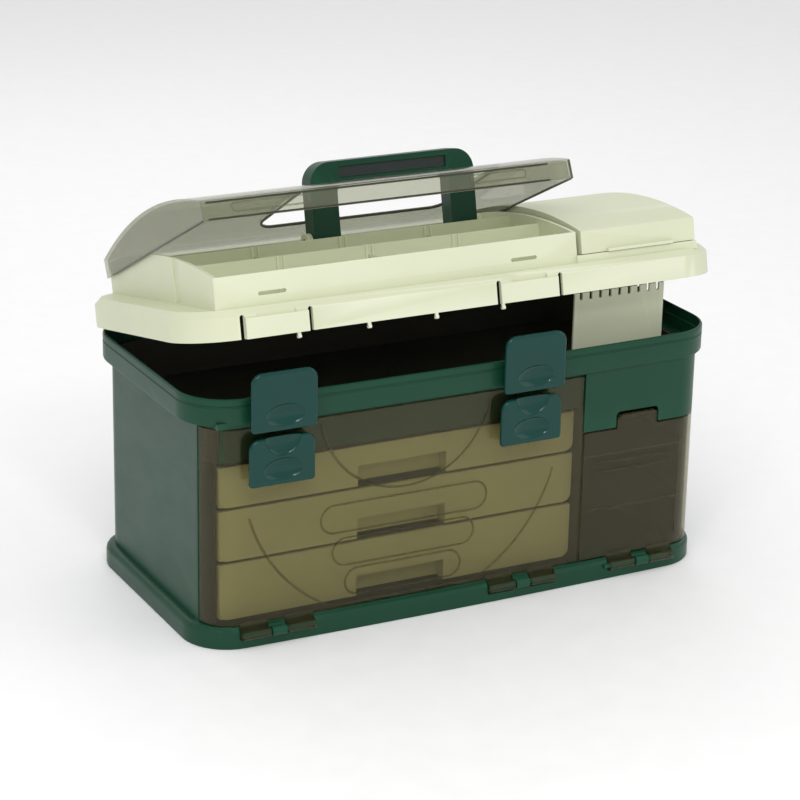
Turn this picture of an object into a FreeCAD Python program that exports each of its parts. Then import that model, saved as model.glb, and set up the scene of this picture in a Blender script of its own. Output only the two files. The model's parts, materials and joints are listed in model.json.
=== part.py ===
"""Fishing tackle box: hip-roof case with three drawers, a side bin and a lidded tray on top.

X runs along the length to the right, Y to the back and Z up.  The origin is the centre of the
flat underside.  All sizes are in millimetres.  Everything above the rim is laid out with the
lid shut and is then swung to the angle at which the lid stands.
"""
import FreeCAD, Part

import math
import os
import re

import Sketcher

doc = FreeCAD.newDocument("TackleBox")

# ---------------------------------------------------------------- driving dimensions

SIZES = {
    # plinth and walls
    "plinth_length": 454, "plinth_depth": 229, "plinth_height": 18, "plinth_corner": 38,
    "plinth_bow": 4, "plinth_bevel": 5, "floor_thickness": 3,
    "end_overhang": 8, "front_overhang": 4, "rear_overhang": 9.5,
    "wall_thickness": 3, "wall_corner": 26, "wall_top": 180, "corner_wrap": 24,
    # rim that the lid closes over
    "rim_flare": 11, "rim_step": 3, "rim_corner": 40, "rim_bow": 3, "rim_height": 22,
    "rim_thickness": 4, "ledge_thickness": 4,
    # inside of the case
    "bin_width": 114.5, "partition_thickness": 3, "header_setback": 6.5, "header_thickness": 3,
    "header_drop": 30, "well_depth": 32, "well_floor_thickness": 2.5, "well_thickness": 2,
    "fit_gap": 0.8, "post_width": 2.5,
    # drawers
    "drawer_setback": 13.5, "drawer_rear_gap": 13, "drawer_thickness": 2, "face_thickness": 3,
    "drawer_low": 45.5, "drawer_middle": 41, "drawer_spacing": 2.6, "drawer_headroom": 3.8,
    "face_overlap": 4, "runner_thickness": 1.6, "runner_ledge": 6, "runner_lip": 1.5,
    "left_bay_gap": 8.5,
    "pull_width": 77, "pull_height": 17, "pull_depth": 12, "pull_shift": 0.5,
    "divider_thickness": 1.6, "divider_drop": 6, "face_corner": 7,
    # smoke cover and side door on the front
    "pane_thickness": 2.5, "pane_gap": 1.5, "cover_drop": 2.5, "door_top": 128.5,
    "tab_width": 37, "tab_height": 13, "tab_centre": 50,
    "shelf_thickness": 1.6, "shelf_pitch": 47,
    # front hinges
    "hinge_inset": 55, "hinge_offset": 54.5, "door_hinge_centre": 53,
    "hinge_loop": 23, "hinge_knuckle": 12, "hinge_gap": 1.5, "hinge_radius": 4, "hinge_height": 12,
    "hinge_reach": 3.5, "pin_radius": 1.8, "pin_clearance": 0.06, "hinge_clearance": 1,
    "arm_thickness": 1.4, "arm_clearance": 0.4,
    # latches
    "latch_width": 54, "latch_thickness": 4.7, "latch_stand": 2.8, "latch_ear": 4, "latch_barrel": 2.2,
    "latch_pin": 1, "latch_foot": 3.5, "upper_pivot_rise": 1, "upper_length": 43, "upper_reach": 3.5,
    "lower_pivot_drop": 40.5, "lower_length": 34.5, "lower_reach": 3, "latch_corner": 9,
    "hook_height": 35, "hook_thickness": 3, "hook_half": 15, "catch_clearance": 0.6,
    "lower_hook": 24.3, "lower_hook_reach": 2.5, "catch_half": 12, "catch_stand": 1.2,
    "catch_gap": 0.8, "catch_height": 2.4,
    # lid
    "lid_angle": 12.3, "lid_axis_reach": 4, "lid_gap": 1, "lid_front_gap": 0.5, "lid_wall": 3,
    "lid_drop": 2.5, "lid_rise": 20, "lid_roof": 4.5, "lid_bevel": 5, "lid_bow": 3,
    "lid_knuckle": 16, "lid_hinge_pitch": 150, "lid_hinge_ear": 12, "lid_hinge_radius": 3.6,
    "pad_height": 15.5, "pad_width": 51, "pad_proud": 0.4, "catch_depth": 2.2,
    # tray in the lid
    "tray_wall": 2.8, "tray_end_inset": 26, "tray_height": 24, "tray_inset": 11, "tray_back_inset": 8,
    "tray_right_inset": 4.5, "tray_rise": 12, "row_one": 52, "row_two": 5, "row_one_step": 5,
    "row_two_step": 9.5, "deck_drop": 3, "deck_depth": 31, "cross_thickness": 1.8,
    # side lid on the right of the tray
    "side_gap": 1.6, "side_curb": 6, "side_height": 24, "side_rise": 16.5, "side_wall": 2.4,
    "side_lip": 60, "side_lip_reach": 3.5, "side_margin": 3,
    # clear cover over the tray
    "clear_angle": 14.4, "clear_lift": 11, "clear_rise": 32, "clear_front_rise": 15.5,
    "clear_thickness": 2, "clear_gap": 0.5, "clear_front_gap": 2.5,
    "clear_axis_inset": 2.5, "clear_axis_rise": 14, "top_knuckle": 10, "top_ear": 5, "top_radius": 3,
    "top_pin": 1.2, "top_inset": 34,
    "window_width": 172, "window_front": 36, "window_back": 79, "window_corner": 14,
    # carrying handle
    "handle_width": 146, "handle_leg": 23, "handle_depth": 16, "handle_rise": 62,
    "handle_bar": 18, "handle_axis_y": 11, "handle_axis_rise": 30, "handle_corner": 17,
    "handle_pin": 3, "handle_gap": 0.6, "handle_ear": 5, "grip_width": 96, "grip_height": 9,
    "grip_depth": 2.5, "grip_thickness": 1.2,
    # lure rack
    "rack_side_gap": 18.5, "rack_front": 71, "rack_thickness": 2.5, "rack_height": 54, "rack_foot": 14,
    "rack_inset": 6, "rack_slot": 2.4, "rack_slot_depth": 6, "rack_pitch": 9,
}

sheet = doc.addObject("Spreadsheet::Sheet", "Sizes")
for row, (alias, value) in enumerate(SIZES.items(), start=1):
    sheet.set("A%d" % row, alias)
    sheet.set("B%d" % row, str(value))
    sheet.setAlias("B%d" % row, alias)
doc.recompute()

# ---------------------------------------------------------------- places worked out from them

WALL_END = "(plinth_length/2 - end_overhang)"
WALL_FRONT = "(plinth_depth/2 - front_overhang)"
WALL_REAR = "(plinth_depth/2 - rear_overhang)"
INNER_END = f"({WALL_END} - wall_thickness)"
INNER_REAR = f"({WALL_REAR} - wall_thickness)"
RIM_TOP = "(wall_top + rim_height)"
RIM_END = f"({WALL_END} + rim_flare)"
RIM_FRONT = f"({WALL_FRONT} + rim_step)"
RIM_REAR = f"({WALL_REAR} + rim_step)"
HEADER_FRONT = f"({WALL_FRONT} - header_setback)"
HEADER_BACK = f"({HEADER_FRONT} - header_thickness)"
PARTITION = f"({WALL_END} - bin_width)"
PARTITION_RIGHT = f"({PARTITION} + partition_thickness)"
PANE_BOTTOM = "(plinth_height + pane_gap)"
PANE_INNER = f"({WALL_FRONT} - pane_thickness)"
FACE = f"({WALL_FRONT} - drawer_setback)"
LEFT_LATCH = f"(hinge_inset - {WALL_END})"
RIGHT_LATCH = f"({PARTITION} - hinge_offset)"
DOOR_HINGE = f"({PARTITION} + door_hinge_centre)"
FRONT_AXIS = f"({WALL_FRONT} + hinge_reach)"
UPPER_AXIS = f"({RIM_FRONT} + upper_reach)"
LOWER_AXIS = f"({WALL_FRONT} + lower_reach)"
LID_END = f"({RIM_END} + lid_gap + lid_wall)"
LID_FRONT = f"({RIM_FRONT} + lid_front_gap + lid_wall)"
LID_BOTTOM = f"({RIM_TOP} - lid_drop)"
TRAY_LEFT = f"(tray_end_inset - {LID_END})"
TRAY_RIGHT = f"({PARTITION} - tray_right_inset)"
TRAY_FRONT = f"({LID_FRONT} - tray_inset)"
SIDE_LEFT = f"({TRAY_RIGHT} + clear_gap + clear_thickness + side_gap)"
SIDE_RIGHT = f"({LID_END} - tray_end_inset + 1)"
SIDE_FRONT = f"({TRAY_FRONT} + 1)"
SIDE_BOTTOM = "(lid_top + side_curb)"
HANDLE_END = "(handle_width/2)"

# heights and depths that follow from the ones above; expressions may use their names as well
PLACES = {
    "cover_top": "(wall_top - cover_drop)",
    "well_floor": "(wall_top - well_depth)",
    "rack_top": "(wall_top + rack_height)",
    "drawer_back": f"({INNER_REAR} - drawer_rear_gap)",
    "upper_pivot": "(wall_top + upper_pivot_rise)",
    "upper_top": "(upper_pivot + upper_length)",
    "lower_pivot": "(cover_top - lower_pivot_drop)",
    "lower_top": "(lower_pivot + lower_length)",
    "lid_axis_y": f"({RIM_REAR} + lid_axis_reach)",
    "lid_top": f"({RIM_TOP} + lid_rise)",
    "tray_front": "(lid_top + tray_height)",
    "tray_back": "(lid_axis_y - tray_back_inset)",
    "row_one_top": "(tray_front + row_one_step)",
    "row_two_top": "(tray_front + row_two_step)",
    "deck_top": "(tray_front - deck_drop)",
    "side_front": "(lid_top + side_height)",
    "clear_bottom": "(lid_top + clear_lift)",
    "clear_axis_y": "(lid_axis_y - clear_axis_inset)",
    "clear_axis_z": "(lid_top + clear_axis_rise)",
    "handle_axis_z": "(lid_top + handle_axis_rise)",
    "handle_top": "(handle_axis_z + handle_rise)",
}

WORDS = {"cos", "sin", "sqrt"}


def bound(text):
    """Write out the named places and turn size names into references to the sheet's cells."""
    def write_out(match):
        name = match[0]
        if name in PLACES:
            return bound(PLACES[name])
        return name if name in WORDS else "Sizes." + name

    return re.sub(r"[a-z]\w*", write_out, str(text))


def bind(obj, **properties):
    """Bind properties to the sheet; Base_x stands for Placement.Base.x."""
    for name, text in properties.items():
        path = name.replace("Base_", "Placement.Base.")
        obj.setExpression(path, bound(text))
    return obj


# ---------------------------------------------------------------- primitives and booleans

def box(name, x, y, z):
    """A block between two places along each axis."""
    block = doc.addObject("Part::Box", name)
    bind(block, Length=f"{x[1]} - ({x[0]})", Width=f"{y[1]} - ({y[0]})", Height=f"{z[1]} - ({z[0]})")
    return bind(block, Base_x=x[0], Base_y=y[0], Base_z=z[0])


def rod(name, x, y, z, radius):
    """A round bar along X between two places."""
    bar = doc.addObject("Part::Cylinder", name)
    bar.Placement.Rotation = FreeCAD.Rotation(FreeCAD.Vector(0, 1, 0), 90)
    bind(bar, Radius=radius, Height=f"{x[1]} - ({x[0]})")
    return bind(bar, Base_x=x[0], Base_y=y, Base_z=z)


def fuse(name, *parts):
    """Join parts into one solid."""
    joined = doc.addObject("Part::MultiFuse", name)
    joined.Shapes = list(parts)
    joined.Refine = True
    return joined


def common(name, *parts):
    """Keep what all the parts share."""
    shared = doc.addObject("Part::MultiCommon", name)
    shared.Shapes = list(parts)
    return shared


def cut(name, base, *tools):
    """Take tools away from a base."""
    result = doc.addObject("Part::Cut", name)
    result.Base = base
    result.Tool = tools[0] if len(tools) == 1 else fuse(name + "Tools", *tools)
    result.Refine = True
    return result


def group(name, *solids):
    """Separate solids that are one kind of piece."""
    together = doc.addObject("Part::Compound", name)
    together.Links = list(solids)
    return together


def rounded(name, base, size, along, where):
    """Fillet the straight edges along one axis that a test picks."""
    doc.recompute()
    radius = SIZES[size]
    axis = FreeCAD.Vector(*along)
    picked = []
    for number, edge in enumerate(base.Shape.Edges, start=1):
        straight = edge.Curve.TypeId == "Part::GeomLine"
        if straight and abs(edge.Curve.Direction.dot(axis)) > 0.999 and where(edge.CenterOfMass):
            picked.append((number, radius, radius))
    result = doc.addObject("Part::Fillet", name)
    result.Base = base
    result.Edges = picked
    return result


def outline(name, end, front, rear, front_corner, rear_corner, bow, z):
    """A pad whose plan has a bowed front edge, straight sides and tangent round corners."""
    body = doc.addObject("PartDesign::Body", name)
    sketch = body.newObject("Sketcher::SketchObject", name + "Plan")
    plane = [item for item in body.Origin.OriginFeatures if item.Role == "XY_Plane"][0]
    sketch.AttachmentSupport = [(plane, "")]
    sketch.MapMode = "FlatFace"
    plan = {"End": end, "Front": front, "Rear": rear, "FrontRound": front_corner,
            "RearRound": rear_corner, "Bow": bow}
    for prop, text in plan.items():
        sketch.addProperty("App::PropertyFloat", prop, "Plan")
        sketch.setExpression(prop, bound(text))
    sketch.addProperty("App::PropertyFloat", "Sweep", "Plan")
    sketch.setExpression("Sweep", "(End^2 + Bow^2) / (2*Bow)")
    doc.recompute()

    half, back, radius, heel = sketch.End, sketch.Rear, sketch.FrontRound, sketch.RearRound
    sweep = sketch.Sweep
    centre_y = sweep - sketch.Front
    corner_y = centre_y - math.sqrt((sweep - radius)**2 - (half - radius)**2)
    lean = math.atan2(half - radius, centre_y - corner_y)
    down = -math.pi / 2

    def arc(x, y, size, start, stop):
        circle = Part.Circle(FreeCAD.Vector(x, y, 0), FreeCAD.Vector(0, 0, 1), size)
        return Part.ArcOfCircle(circle, start, stop)

    def line(x0, y0, x1, y1):
        return Part.LineSegment(FreeCAD.Vector(x0, y0, 0), FreeCAD.Vector(x1, y1, 0))

    sketch.addGeometry([
        arc(0, centre_y, sweep, down - lean, down + lean),
        arc(half - radius, corner_y, radius, down + lean, 0),
        line(half, corner_y, half, back - heel),
        arc(half - heel, back - heel, heel, 0, math.pi / 2),
        line(half - heel, back, heel - half, back),
        arc(heel - half, back - heel, heel, math.pi / 2, math.pi),
        line(-half, back - heel, -half, corner_y),
        arc(radius - half, corner_y, radius, math.pi, 1.5 * math.pi - lean),
    ], False)
    for piece in range(8):
        sketch.addConstraint(Sketcher.Constraint("Tangent", piece, 2, (piece + 1) % 8, 1))
    for side in (2, 6):
        sketch.addConstraint(Sketcher.Constraint("Vertical", side))
    sketch.addConstraint(Sketcher.Constraint("Horizontal", 4))
    sketch.addConstraint(Sketcher.Constraint("PointOnObject", 0, 3, -2))

    driven = [
        (Sketcher.Constraint("Radius", 0, sweep), "Sweep"),
        (Sketcher.Constraint("Radius", 1, radius), "FrontRound"),
        (Sketcher.Constraint("Radius", 7, radius), "FrontRound"),
        (Sketcher.Constraint("Radius", 3, heel), "RearRound"),
        (Sketcher.Constraint("Radius", 5, heel), "RearRound"),
        (Sketcher.Constraint("DistanceX", -1, 1, 2, 1, half), "End"),
        (Sketcher.Constraint("DistanceX", 6, 1, -1, 1, half), "End"),
        (Sketcher.Constraint("DistanceY", -1, 1, 4, 1, back), "Rear"),
        (Sketcher.Constraint("DistanceY", -1, 1, 0, 3, centre_y), "Sweep - Front"),
    ]
    for constraint, text in driven:
        index = sketch.addConstraint(constraint)
        sketch.setExpression("Constraints[%d]" % index, text)

    pad = body.newObject("PartDesign::Pad", name + "Pad")
    pad.Profile = sketch
    pad.setExpression("Length", bound(f"{z[1]} - ({z[0]})"))
    sketch.Visibility = False
    return bind(body, Base_z=z[0])


def bevelled(body, size):
    """Chamfer the top edges of an outline's pad."""
    doc.recompute()
    pad = body.Tip
    top = max(range(len(pad.Shape.Faces)), key=lambda face: pad.Shape.Faces[face].CenterOfMass.z)
    bevel = body.newObject("PartDesign::Chamfer", body.Name + "Bevel")
    bevel.Base = (pad, ["Face%d" % (top + 1)])
    bevel.setExpression("Size", bound(size))
    return body


def walls_outline(name, inset, z):
    """Plan of the case's walls, or of anything set inside them."""
    return outline(name, f"{WALL_END} - ({inset})", f"{WALL_FRONT} - ({inset})",
                   f"{WALL_REAR} - ({inset})", f"wall_corner - ({inset})", f"wall_corner - ({inset})",
                   "0.6", z)


def rim_outline(name, inset, z):
    """Plan of the rim band."""
    return outline(name, f"{RIM_END} - ({inset})", f"{RIM_FRONT} - ({inset})", f"{RIM_REAR} - ({inset})",
                   f"rim_corner - ({inset})", f"rim_corner - ({inset})", "rim_bow", z)


def lid_outline(name, inset, z):
    """Plan of the lid's skirt."""
    return outline(name, f"{LID_END} - ({inset})", f"{LID_FRONT} - ({inset})", f"lid_axis_y - ({inset})",
                   f"rim_corner + lid_wall - ({inset})", f"rim_corner + lid_wall - ({inset})",
                   "lid_bow", z)


def dome(name, x, front, back, low, rise):
    """A lying cylinder whose crown is `rise` above the height `low` at `front` and `back`."""
    reach = f"(({back} - ({front}))/2)"
    radius = f"(({reach}^2 + ({rise})^2)/(2*({rise})))"
    return rod(name, x, f"({front} + {back})/2", f"{low} + {rise} - {radius}", radius)


# ---------------------------------------------------------------- swinging things open

def turned(y, z, angle):
    """Where a place goes when it turns about X through the origin."""
    return (f"(({y})*cos({angle}) - ({z})*sin({angle}))",
            f"(({y})*sin({angle}) + ({z})*cos({angle}))")


def swing(obj, *turns):
    """Turn a finished piece about X through each axis (y, z, angle), innermost first."""
    shift_y, shift_z, total = "0", "0", "0"
    for axis_y, axis_z, angle in turns:
        moved_y, moved_z = turned(f"{shift_y} - ({axis_y})", f"{shift_z} - ({axis_z})", angle)
        shift_y, shift_z = f"({axis_y} + {moved_y})", f"({axis_z} + {moved_z})"
        total = f"({total} + ({angle}))"
    obj.Placement.Rotation = FreeCAD.Rotation(FreeCAD.Vector(1, 0, 0), 1)
    obj.setExpression("Placement.Rotation.Angle", bound(total))
    return bind(obj, Base_y=shift_y, Base_z=shift_z)


LID_TURN = ("lid_axis_y", RIM_TOP, "(-lid_angle)")
CLEAR_TURN = ("clear_axis_y", "clear_axis_z", "(-clear_angle)")

parts = {}


def keep(label, obj, *turns):
    """Name a finished piece and swing it to where it stands."""
    obj.Label = label
    if turns:
        swing(obj, *turns)
    parts[label] = obj
    return obj


# ---------------------------------------------------------------- case

def front_hinge_places():
    """Middle of each bottom hinge on the front: two for the cover and one for the door."""
    return {"Left": LEFT_LATCH, "Right": RIGHT_LATCH, "Door": DOOR_HINGE}


def hinge_loops(middle):
    """The stretches of X that a pane's two hinge loops take."""
    near = "(hinge_knuckle/2 + hinge_gap)"
    far = f"({near} + hinge_loop)"
    return [(f"{middle} - {far}", f"{middle} - {near}"), (f"{middle} + {near}", f"{middle} + {far}")]


def lid_hinge_places():
    """Middle of each rear hinge of the lid."""
    return ["-lid_hinge_pitch", "0", "lid_hinge_pitch"]


def build_case():
    """One moulding: floor, plinth, walls, rim, header, right front panel and hinge knuckles."""
    plinth = bevelled(outline("Plinth", "plinth_length/2", "plinth_depth/2", "plinth_depth/2",
                              "plinth_corner", "plinth_corner", "plinth_bow",
                              ("0", "plinth_height")), "plinth_bevel")
    walls = walls_outline("Walls", "0", ("plinth_height/2", "wall_top"))
    rim = rim_outline("Rim", "0", ("wall_top", RIM_TOP))
    inside = walls_outline("CaseInside", "wall_thickness",
                           ("floor_thickness", "wall_top + ledge_thickness"))
    rim_inside = rim_outline("RimInside", "rim_thickness",
                             ("wall_top + ledge_thickness", f"{RIM_TOP} + 1"))
    wrap_back = f"corner_wrap - {WALL_FRONT}"
    cover_opening = box("CoverOpening", (f"-{WALL_END} - 1", PARTITION),
                        (f"-{WALL_FRONT} - 2", wrap_back),
                        ("plinth_height", "cover_top + pane_gap"))
    door_opening = box("DoorOpening", (PARTITION, f"{WALL_END} + 1"),
                       (f"-{WALL_FRONT} - 2", wrap_back), ("plinth_height", "door_top + pane_gap"))
    notch = box("TabNotch", (f"{PARTITION} + tab_centre - tab_width/2 - pane_gap",
                             f"{PARTITION} + tab_centre + tab_width/2 + pane_gap"),
                (f"-{WALL_FRONT} - 2", f"3 - {PANE_INNER}"),
                ("door_top", "door_top + tab_height + pane_gap"))
    shell = cut("CaseShell", fuse("CaseOuter", plinth, walls, rim), inside, rim_inside,
                cover_opening, door_opening, notch)

    header_room = walls_outline("HeaderRoom", "pane_thickness + fit_gap",
                                ("wall_top - header_drop", "wall_top + ledge_thickness"))
    header = common("Header", header_room,
                    box("HeaderPlate", (f"-{WALL_END}", PARTITION_RIGHT),
                        (f"-{HEADER_FRONT}", f"-{HEADER_BACK}"),
                        ("wall_top - header_drop", "wall_top + ledge_thickness")))
    soffit_room = walls_outline("SoffitRoom", "wall_thickness/2",
                                ("cover_top + pane_gap", "wall_top + ledge_thickness"))
    soffit = common("Soffit", soffit_room,
                    box("SoffitPlate", (f"-{WALL_END}", PARTITION_RIGHT),
                        (f"-{WALL_FRONT}", f"-{HEADER_BACK}"),
                        ("cover_top + pane_gap", "wall_top + ledge_thickness")))
    extras = [shell, header, soffit]
    slots = []
    for place, middle in front_hinge_places().items():
        knuckle = (f"{middle} - hinge_knuckle/2", f"{middle} + hinge_knuckle/2")
        extras.append(rod("Knuckle" + place, knuckle, f"-{FRONT_AXIS}", "hinge_height", "hinge_radius"))
        for side, (left, right) in enumerate(hinge_loops(middle)):
            slots.append(box("LoopSlot%s%d" % (place, side),
                             (f"{left} - hinge_gap/2", f"{right} + hinge_gap/2"),
                             (f"-{FRONT_AXIS} - 20", f"arm_thickness + arm_clearance - {WALL_FRONT}"),
                             ("hinge_height - hinge_radius - hinge_clearance", "plinth_height + 1")))
        slots.append(rod("KnuckleBore" + place,
                         (f"{knuckle[0]} - hinge_gap", f"{knuckle[1]} + hinge_gap"), f"-{FRONT_AXIS}",
                         "hinge_height", "pin_radius + pin_clearance"))
    for place, middle in enumerate(lid_hinge_places()):
        for side in (-1, 1):
            start = f"{middle} + {side}*(lid_knuckle/2 + hinge_gap/2 + lid_hinge_ear/2)"
            ear = (f"{start} - lid_hinge_ear/2", f"{start} + lid_hinge_ear/2")
            mark = "%d%s" % (place, "LR"[side > 0])
            extras.append(rod("LidEar" + mark, ear, "lid_axis_y", RIM_TOP, "lid_hinge_radius"))
            extras.append(box("LidEarWeb" + mark, ear,
                              (f"{RIM_REAR} - rim_thickness/2", "lid_axis_y"),
                              (f"{RIM_TOP} - 3*lid_hinge_radius", RIM_TOP)))
            slots.append(rod("LidEarBore" + mark, (f"{ear[0]} - 1", f"{ear[1]} + 1"), "lid_axis_y",
                             RIM_TOP, "pin_radius + pin_clearance"))
    for place, middle in (("Left", LEFT_LATCH), ("Right", RIGHT_LATCH)):
        for side in (-1, 1):
            start = f"{middle} + {side}*(hook_half + 1 + latch_ear/2)"
            ear = (f"{start} - latch_ear/2", f"{start} + latch_ear/2")
            mark = place + "LR"[side > 0]
            extras.append(rod("UpperEar" + mark, ear, f"-{UPPER_AXIS}", "upper_pivot", "latch_barrel"))
            extras.append(box("UpperWeb" + mark, ear, (f"-{UPPER_AXIS}", f"rim_bow + 2 - {RIM_FRONT}"),
                              ("upper_pivot - latch_barrel", "upper_pivot + latch_barrel")))
            slots.append(rod("UpperEarBore" + mark, (f"{ear[0]} - 1", f"{ear[1]} + 1"),
                             f"-{UPPER_AXIS}", "upper_pivot", "latch_pin + pin_clearance"))
        extras.append(box("LowerCatch" + place, (f"{middle} - catch_half", f"{middle} + catch_half"),
                          (f"catch_stand - {PANE_INNER}", f"1 - {HEADER_FRONT}"),
                          ("lower_pivot + lower_hook - catch_gap - catch_height",
                           "lower_pivot + lower_hook - catch_gap")))
    split_case(cut("MainCase", fuse("CaseWhole", *extras), *slots))


def split_case(whole):
    """Keep the one moulding as stretches that meet face to face, each nearly convex."""
    far_x = f"({RIM_END} + 2*rim_flare)"
    far_y = "(plinth_depth/2 + 4*plinth_bevel)"
    wall_x = f"({WALL_END} - wall_corner)"
    rim_x = f"({RIM_END} - rim_corner)"
    band = "(cover_top + pane_gap/2)"
    walls_z = ("plinth_height", band)
    rim_z = (band, f"({RIM_TOP} + 2*lid_hinge_radius)")
    stretches = {
        "case_base": ((f"-{far_x}", far_x), (f"-{far_y}", far_y), ("-plinth_bevel", "plinth_height")),
        "case_left": ((f"-{far_x}", f"-{wall_x}"), (f"corner_wrap - {WALL_FRONT}", far_y), walls_z),
        "case_right": ((wall_x, far_x), (f"-{far_y}", far_y), walls_z),
        "case_back": ((f"-{wall_x}", wall_x), ("0", far_y), walls_z),
        "case_front": ((f"-{far_x}", wall_x), (f"-{far_y}", f"corner_wrap - {WALL_FRONT} - 1"), walls_z),
        "rim_left": ((f"-{far_x}", f"-{rim_x}"), (f"-{far_y}", far_y), rim_z),
        "rim_right": ((rim_x, far_x), (f"-{far_y}", far_y), rim_z),
        "rim_back": ((f"-{rim_x}", rim_x), ("0", far_y), rim_z),
        "rim_front": ((f"-{rim_x}", rim_x), (f"-{far_y}", "0"), rim_z),
    }
    for label, (x, y, z) in stretches.items():
        tag = label.title().replace("_", "")
        keep(label, common(tag, whole, box(tag + "Room", x, y, z)))


def build_inside():
    """Storage tub under the rim, wall between drawers and side bin, runners and bin shelves."""
    tub_front = f"({HEADER_BACK} - fit_gap)"
    tub_corner = "(wall_corner - wall_thickness - fit_gap)"

    def tub_outline(name, inset, z):
        return outline(name, f"{INNER_END} - fit_gap - ({inset})", f"{tub_front} - ({inset})",
                       f"{INNER_REAR} - fit_gap - ({inset})", f"{tub_corner} - ({inset})",
                       f"{tub_corner} - ({inset})", "0.6", z)

    tub = tub_outline("Tub", "0", ("well_floor", "wall_top + ledge_thickness"))
    hollow = tub_outline("TubHollow", "well_thickness",
                         ("well_floor + well_floor_thickness", "wall_top + ledge_thickness + 1"))
    keep("storage_tub", cut("StorageTub", tub, hollow))

    keep("bin_partition", box("BinPartition", (PARTITION, PARTITION_RIGHT),
                              (f"1 - {PANE_INNER}", INNER_REAR),
                              ("floor_thickness", "well_floor - fit_gap")))

    for side, name in ((-1, "left_runner"), (1, "right_runner")):
        wall = f"(left_bay_gap - {INNER_END})" if side < 0 else PARTITION
        inward = "+" if side < 0 else "-"
        plate = ordered(side, wall, f"{wall} {inward} runner_thickness")
        ledge = ordered(side, wall, f"{wall} {inward} (runner_thickness + runner_lip + runner_ledge)")
        pieces = [box(name.title() + "Plate", plate, (f"2*face_thickness - {FACE}", "drawer_back"),
                      ("floor_thickness", "well_floor - fit_gap"))]
        for level, (low, _) in enumerate(drawer_levels()):
            pieces.append(box(name.title() + "Ledge%d" % level, ledge,
                              (f"2*face_thickness - {FACE}", "drawer_back"),
                              (f"{low} - runner_thickness - 0.3", f"{low} - 0.3")))
        keep(name, fuse(name.title(), *pieces))

    shelves = []
    for level in range(2):
        low = f"(floor_thickness + {level + 1}*shelf_pitch)"
        high = f"({low} + shelf_thickness)"
        room = walls_outline("ShelfRoom%d" % level, "wall_thickness + fit_gap", (low, high))
        plate = box("ShelfPlate%d" % level, (f"{PARTITION_RIGHT} + fit_gap", WALL_END),
                    (f"corner_wrap - {WALL_FRONT}", WALL_REAR), (low, high))
        shelves.append(common("BinShelf%d" % level, room, plate))
    keep("bin_shelves", group("BinShelves", *shelves))


def ordered(side, outer, inner):
    """Order two places along X for a piece on the left (-1) or right (1) wall."""
    return (outer, inner) if side < 0 else (inner, outer)


def build_rack():
    """Slotted plate that lures hang from, standing in the tub under the side lid."""
    left = f"({PARTITION_RIGHT} + rack_inset)"
    right = f"({INNER_END} - rack_side_gap)"
    base = "(well_floor + well_floor_thickness)"
    plate = box("RackPlate", (left, right), ("-rack_front - rack_thickness", "-rack_front"),
                (base, "rack_top"))
    foot = box("RackFoot", (left, right), ("-rack_front - rack_thickness", "rack_foot - rack_front"),
               (base, f"{base} + rack_thickness"))
    slots = []
    for index in range(9):
        middle = f"(({left} + {right})/2 + ({index} - 4)*rack_pitch)"
        slots.append(box("RackSlot%d" % index, (f"{middle} - rack_slot/2", f"{middle} + rack_slot/2"),
                         ("-rack_front - rack_thickness - 1", "1 - rack_front"),
                         ("rack_top - rack_slot_depth", "rack_top + 1")))
    keep("lure_rack", cut("LureRack", fuse("RackBlank", plate, foot), *slots))


# ---------------------------------------------------------------- drawers

def drawer_levels():
    """Bottom and top of each drawer's face, lowest first."""
    levels = []
    low = PANE_BOTTOM
    for height in ("drawer_low", "drawer_middle"):
        levels.append((low, f"({low} + {height})"))
        low = f"({low} + {height} + drawer_spacing)"
    levels.append((low, "(well_floor - drawer_headroom)"))
    return levels


def build_drawer(name, low, high):
    """A drawer with an overlapping face, a hooded finger pull and loose dividers."""
    tag = name.title().replace("_", "")
    left = f"(left_bay_gap + runner_thickness + runner_lip - {INNER_END})"
    right = f"({PARTITION} - runner_thickness - runner_lip)"
    face_left = f"({left} - face_overlap/2 + fit_gap)"
    face_right = f"({right} + face_overlap/2 - fit_gap)"
    back = "drawer_back"
    face = rounded(tag + "Face", box(tag + "Panel", (face_left, face_right),
                                     (f"-{FACE}", f"face_thickness - {FACE}"), (low, high)),
                   "face_corner", (0, 1, 0), lambda point: point.z < box_middle(tag + "Panel"))
    tray = box(tag + "Tray", (left, right), (f"face_thickness - {FACE} - 0.5", back),
               (low, f"{high} - 2"))
    hollow = box(tag + "Hollow", (f"{left} + drawer_thickness", f"{right} - drawer_thickness"),
                 (f"face_thickness - {FACE}", f"{back} - drawer_thickness"),
                 (f"{low} + drawer_thickness", f"{high} + 1"))
    middle = f"(({left} + {right})/2 + pull_shift)"
    hood = box(tag + "Hood", (f"{middle} - pull_width/2 - 2", f"{middle} + pull_width/2 + 2"),
               (f"face_thickness - {FACE} - 0.5", f"pull_depth + 2 - {FACE}"),
               (low, f"{low} + pull_height + 2"))
    pull = box(tag + "Pull", (f"{middle} - pull_width/2", f"{middle} + pull_width/2"),
               (f"-{FACE} - 1", f"pull_depth - {FACE}"),
               (f"{low} - 1", f"{low} + pull_height"))
    blank = fuse(tag + "Blank", face, cut(tag + "Open", tray, hollow), hood)
    keep(name, cut(tag, blank, pull))

    dividers = []
    inner_front = f"(pull_depth + 4 - {FACE})"
    for index in range(2):
        place = f"({left} + {index + 1}*({right} - {left})/3)"
        dividers.append(box(tag + "Divider%d" % index,
                            (f"{place} - divider_thickness/2", f"{place} + divider_thickness/2"),
                            (inner_front, f"{back} - drawer_thickness - 0.2"),
                            (f"{low} + drawer_thickness", f"{high} - divider_drop")))
    keep(name + "_dividers", group(tag + "Dividers", *dividers))


def box_middle(name):
    """Height of the middle of a named object."""
    return doc.getObject(name).Shape.CenterOfMass.z


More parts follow.
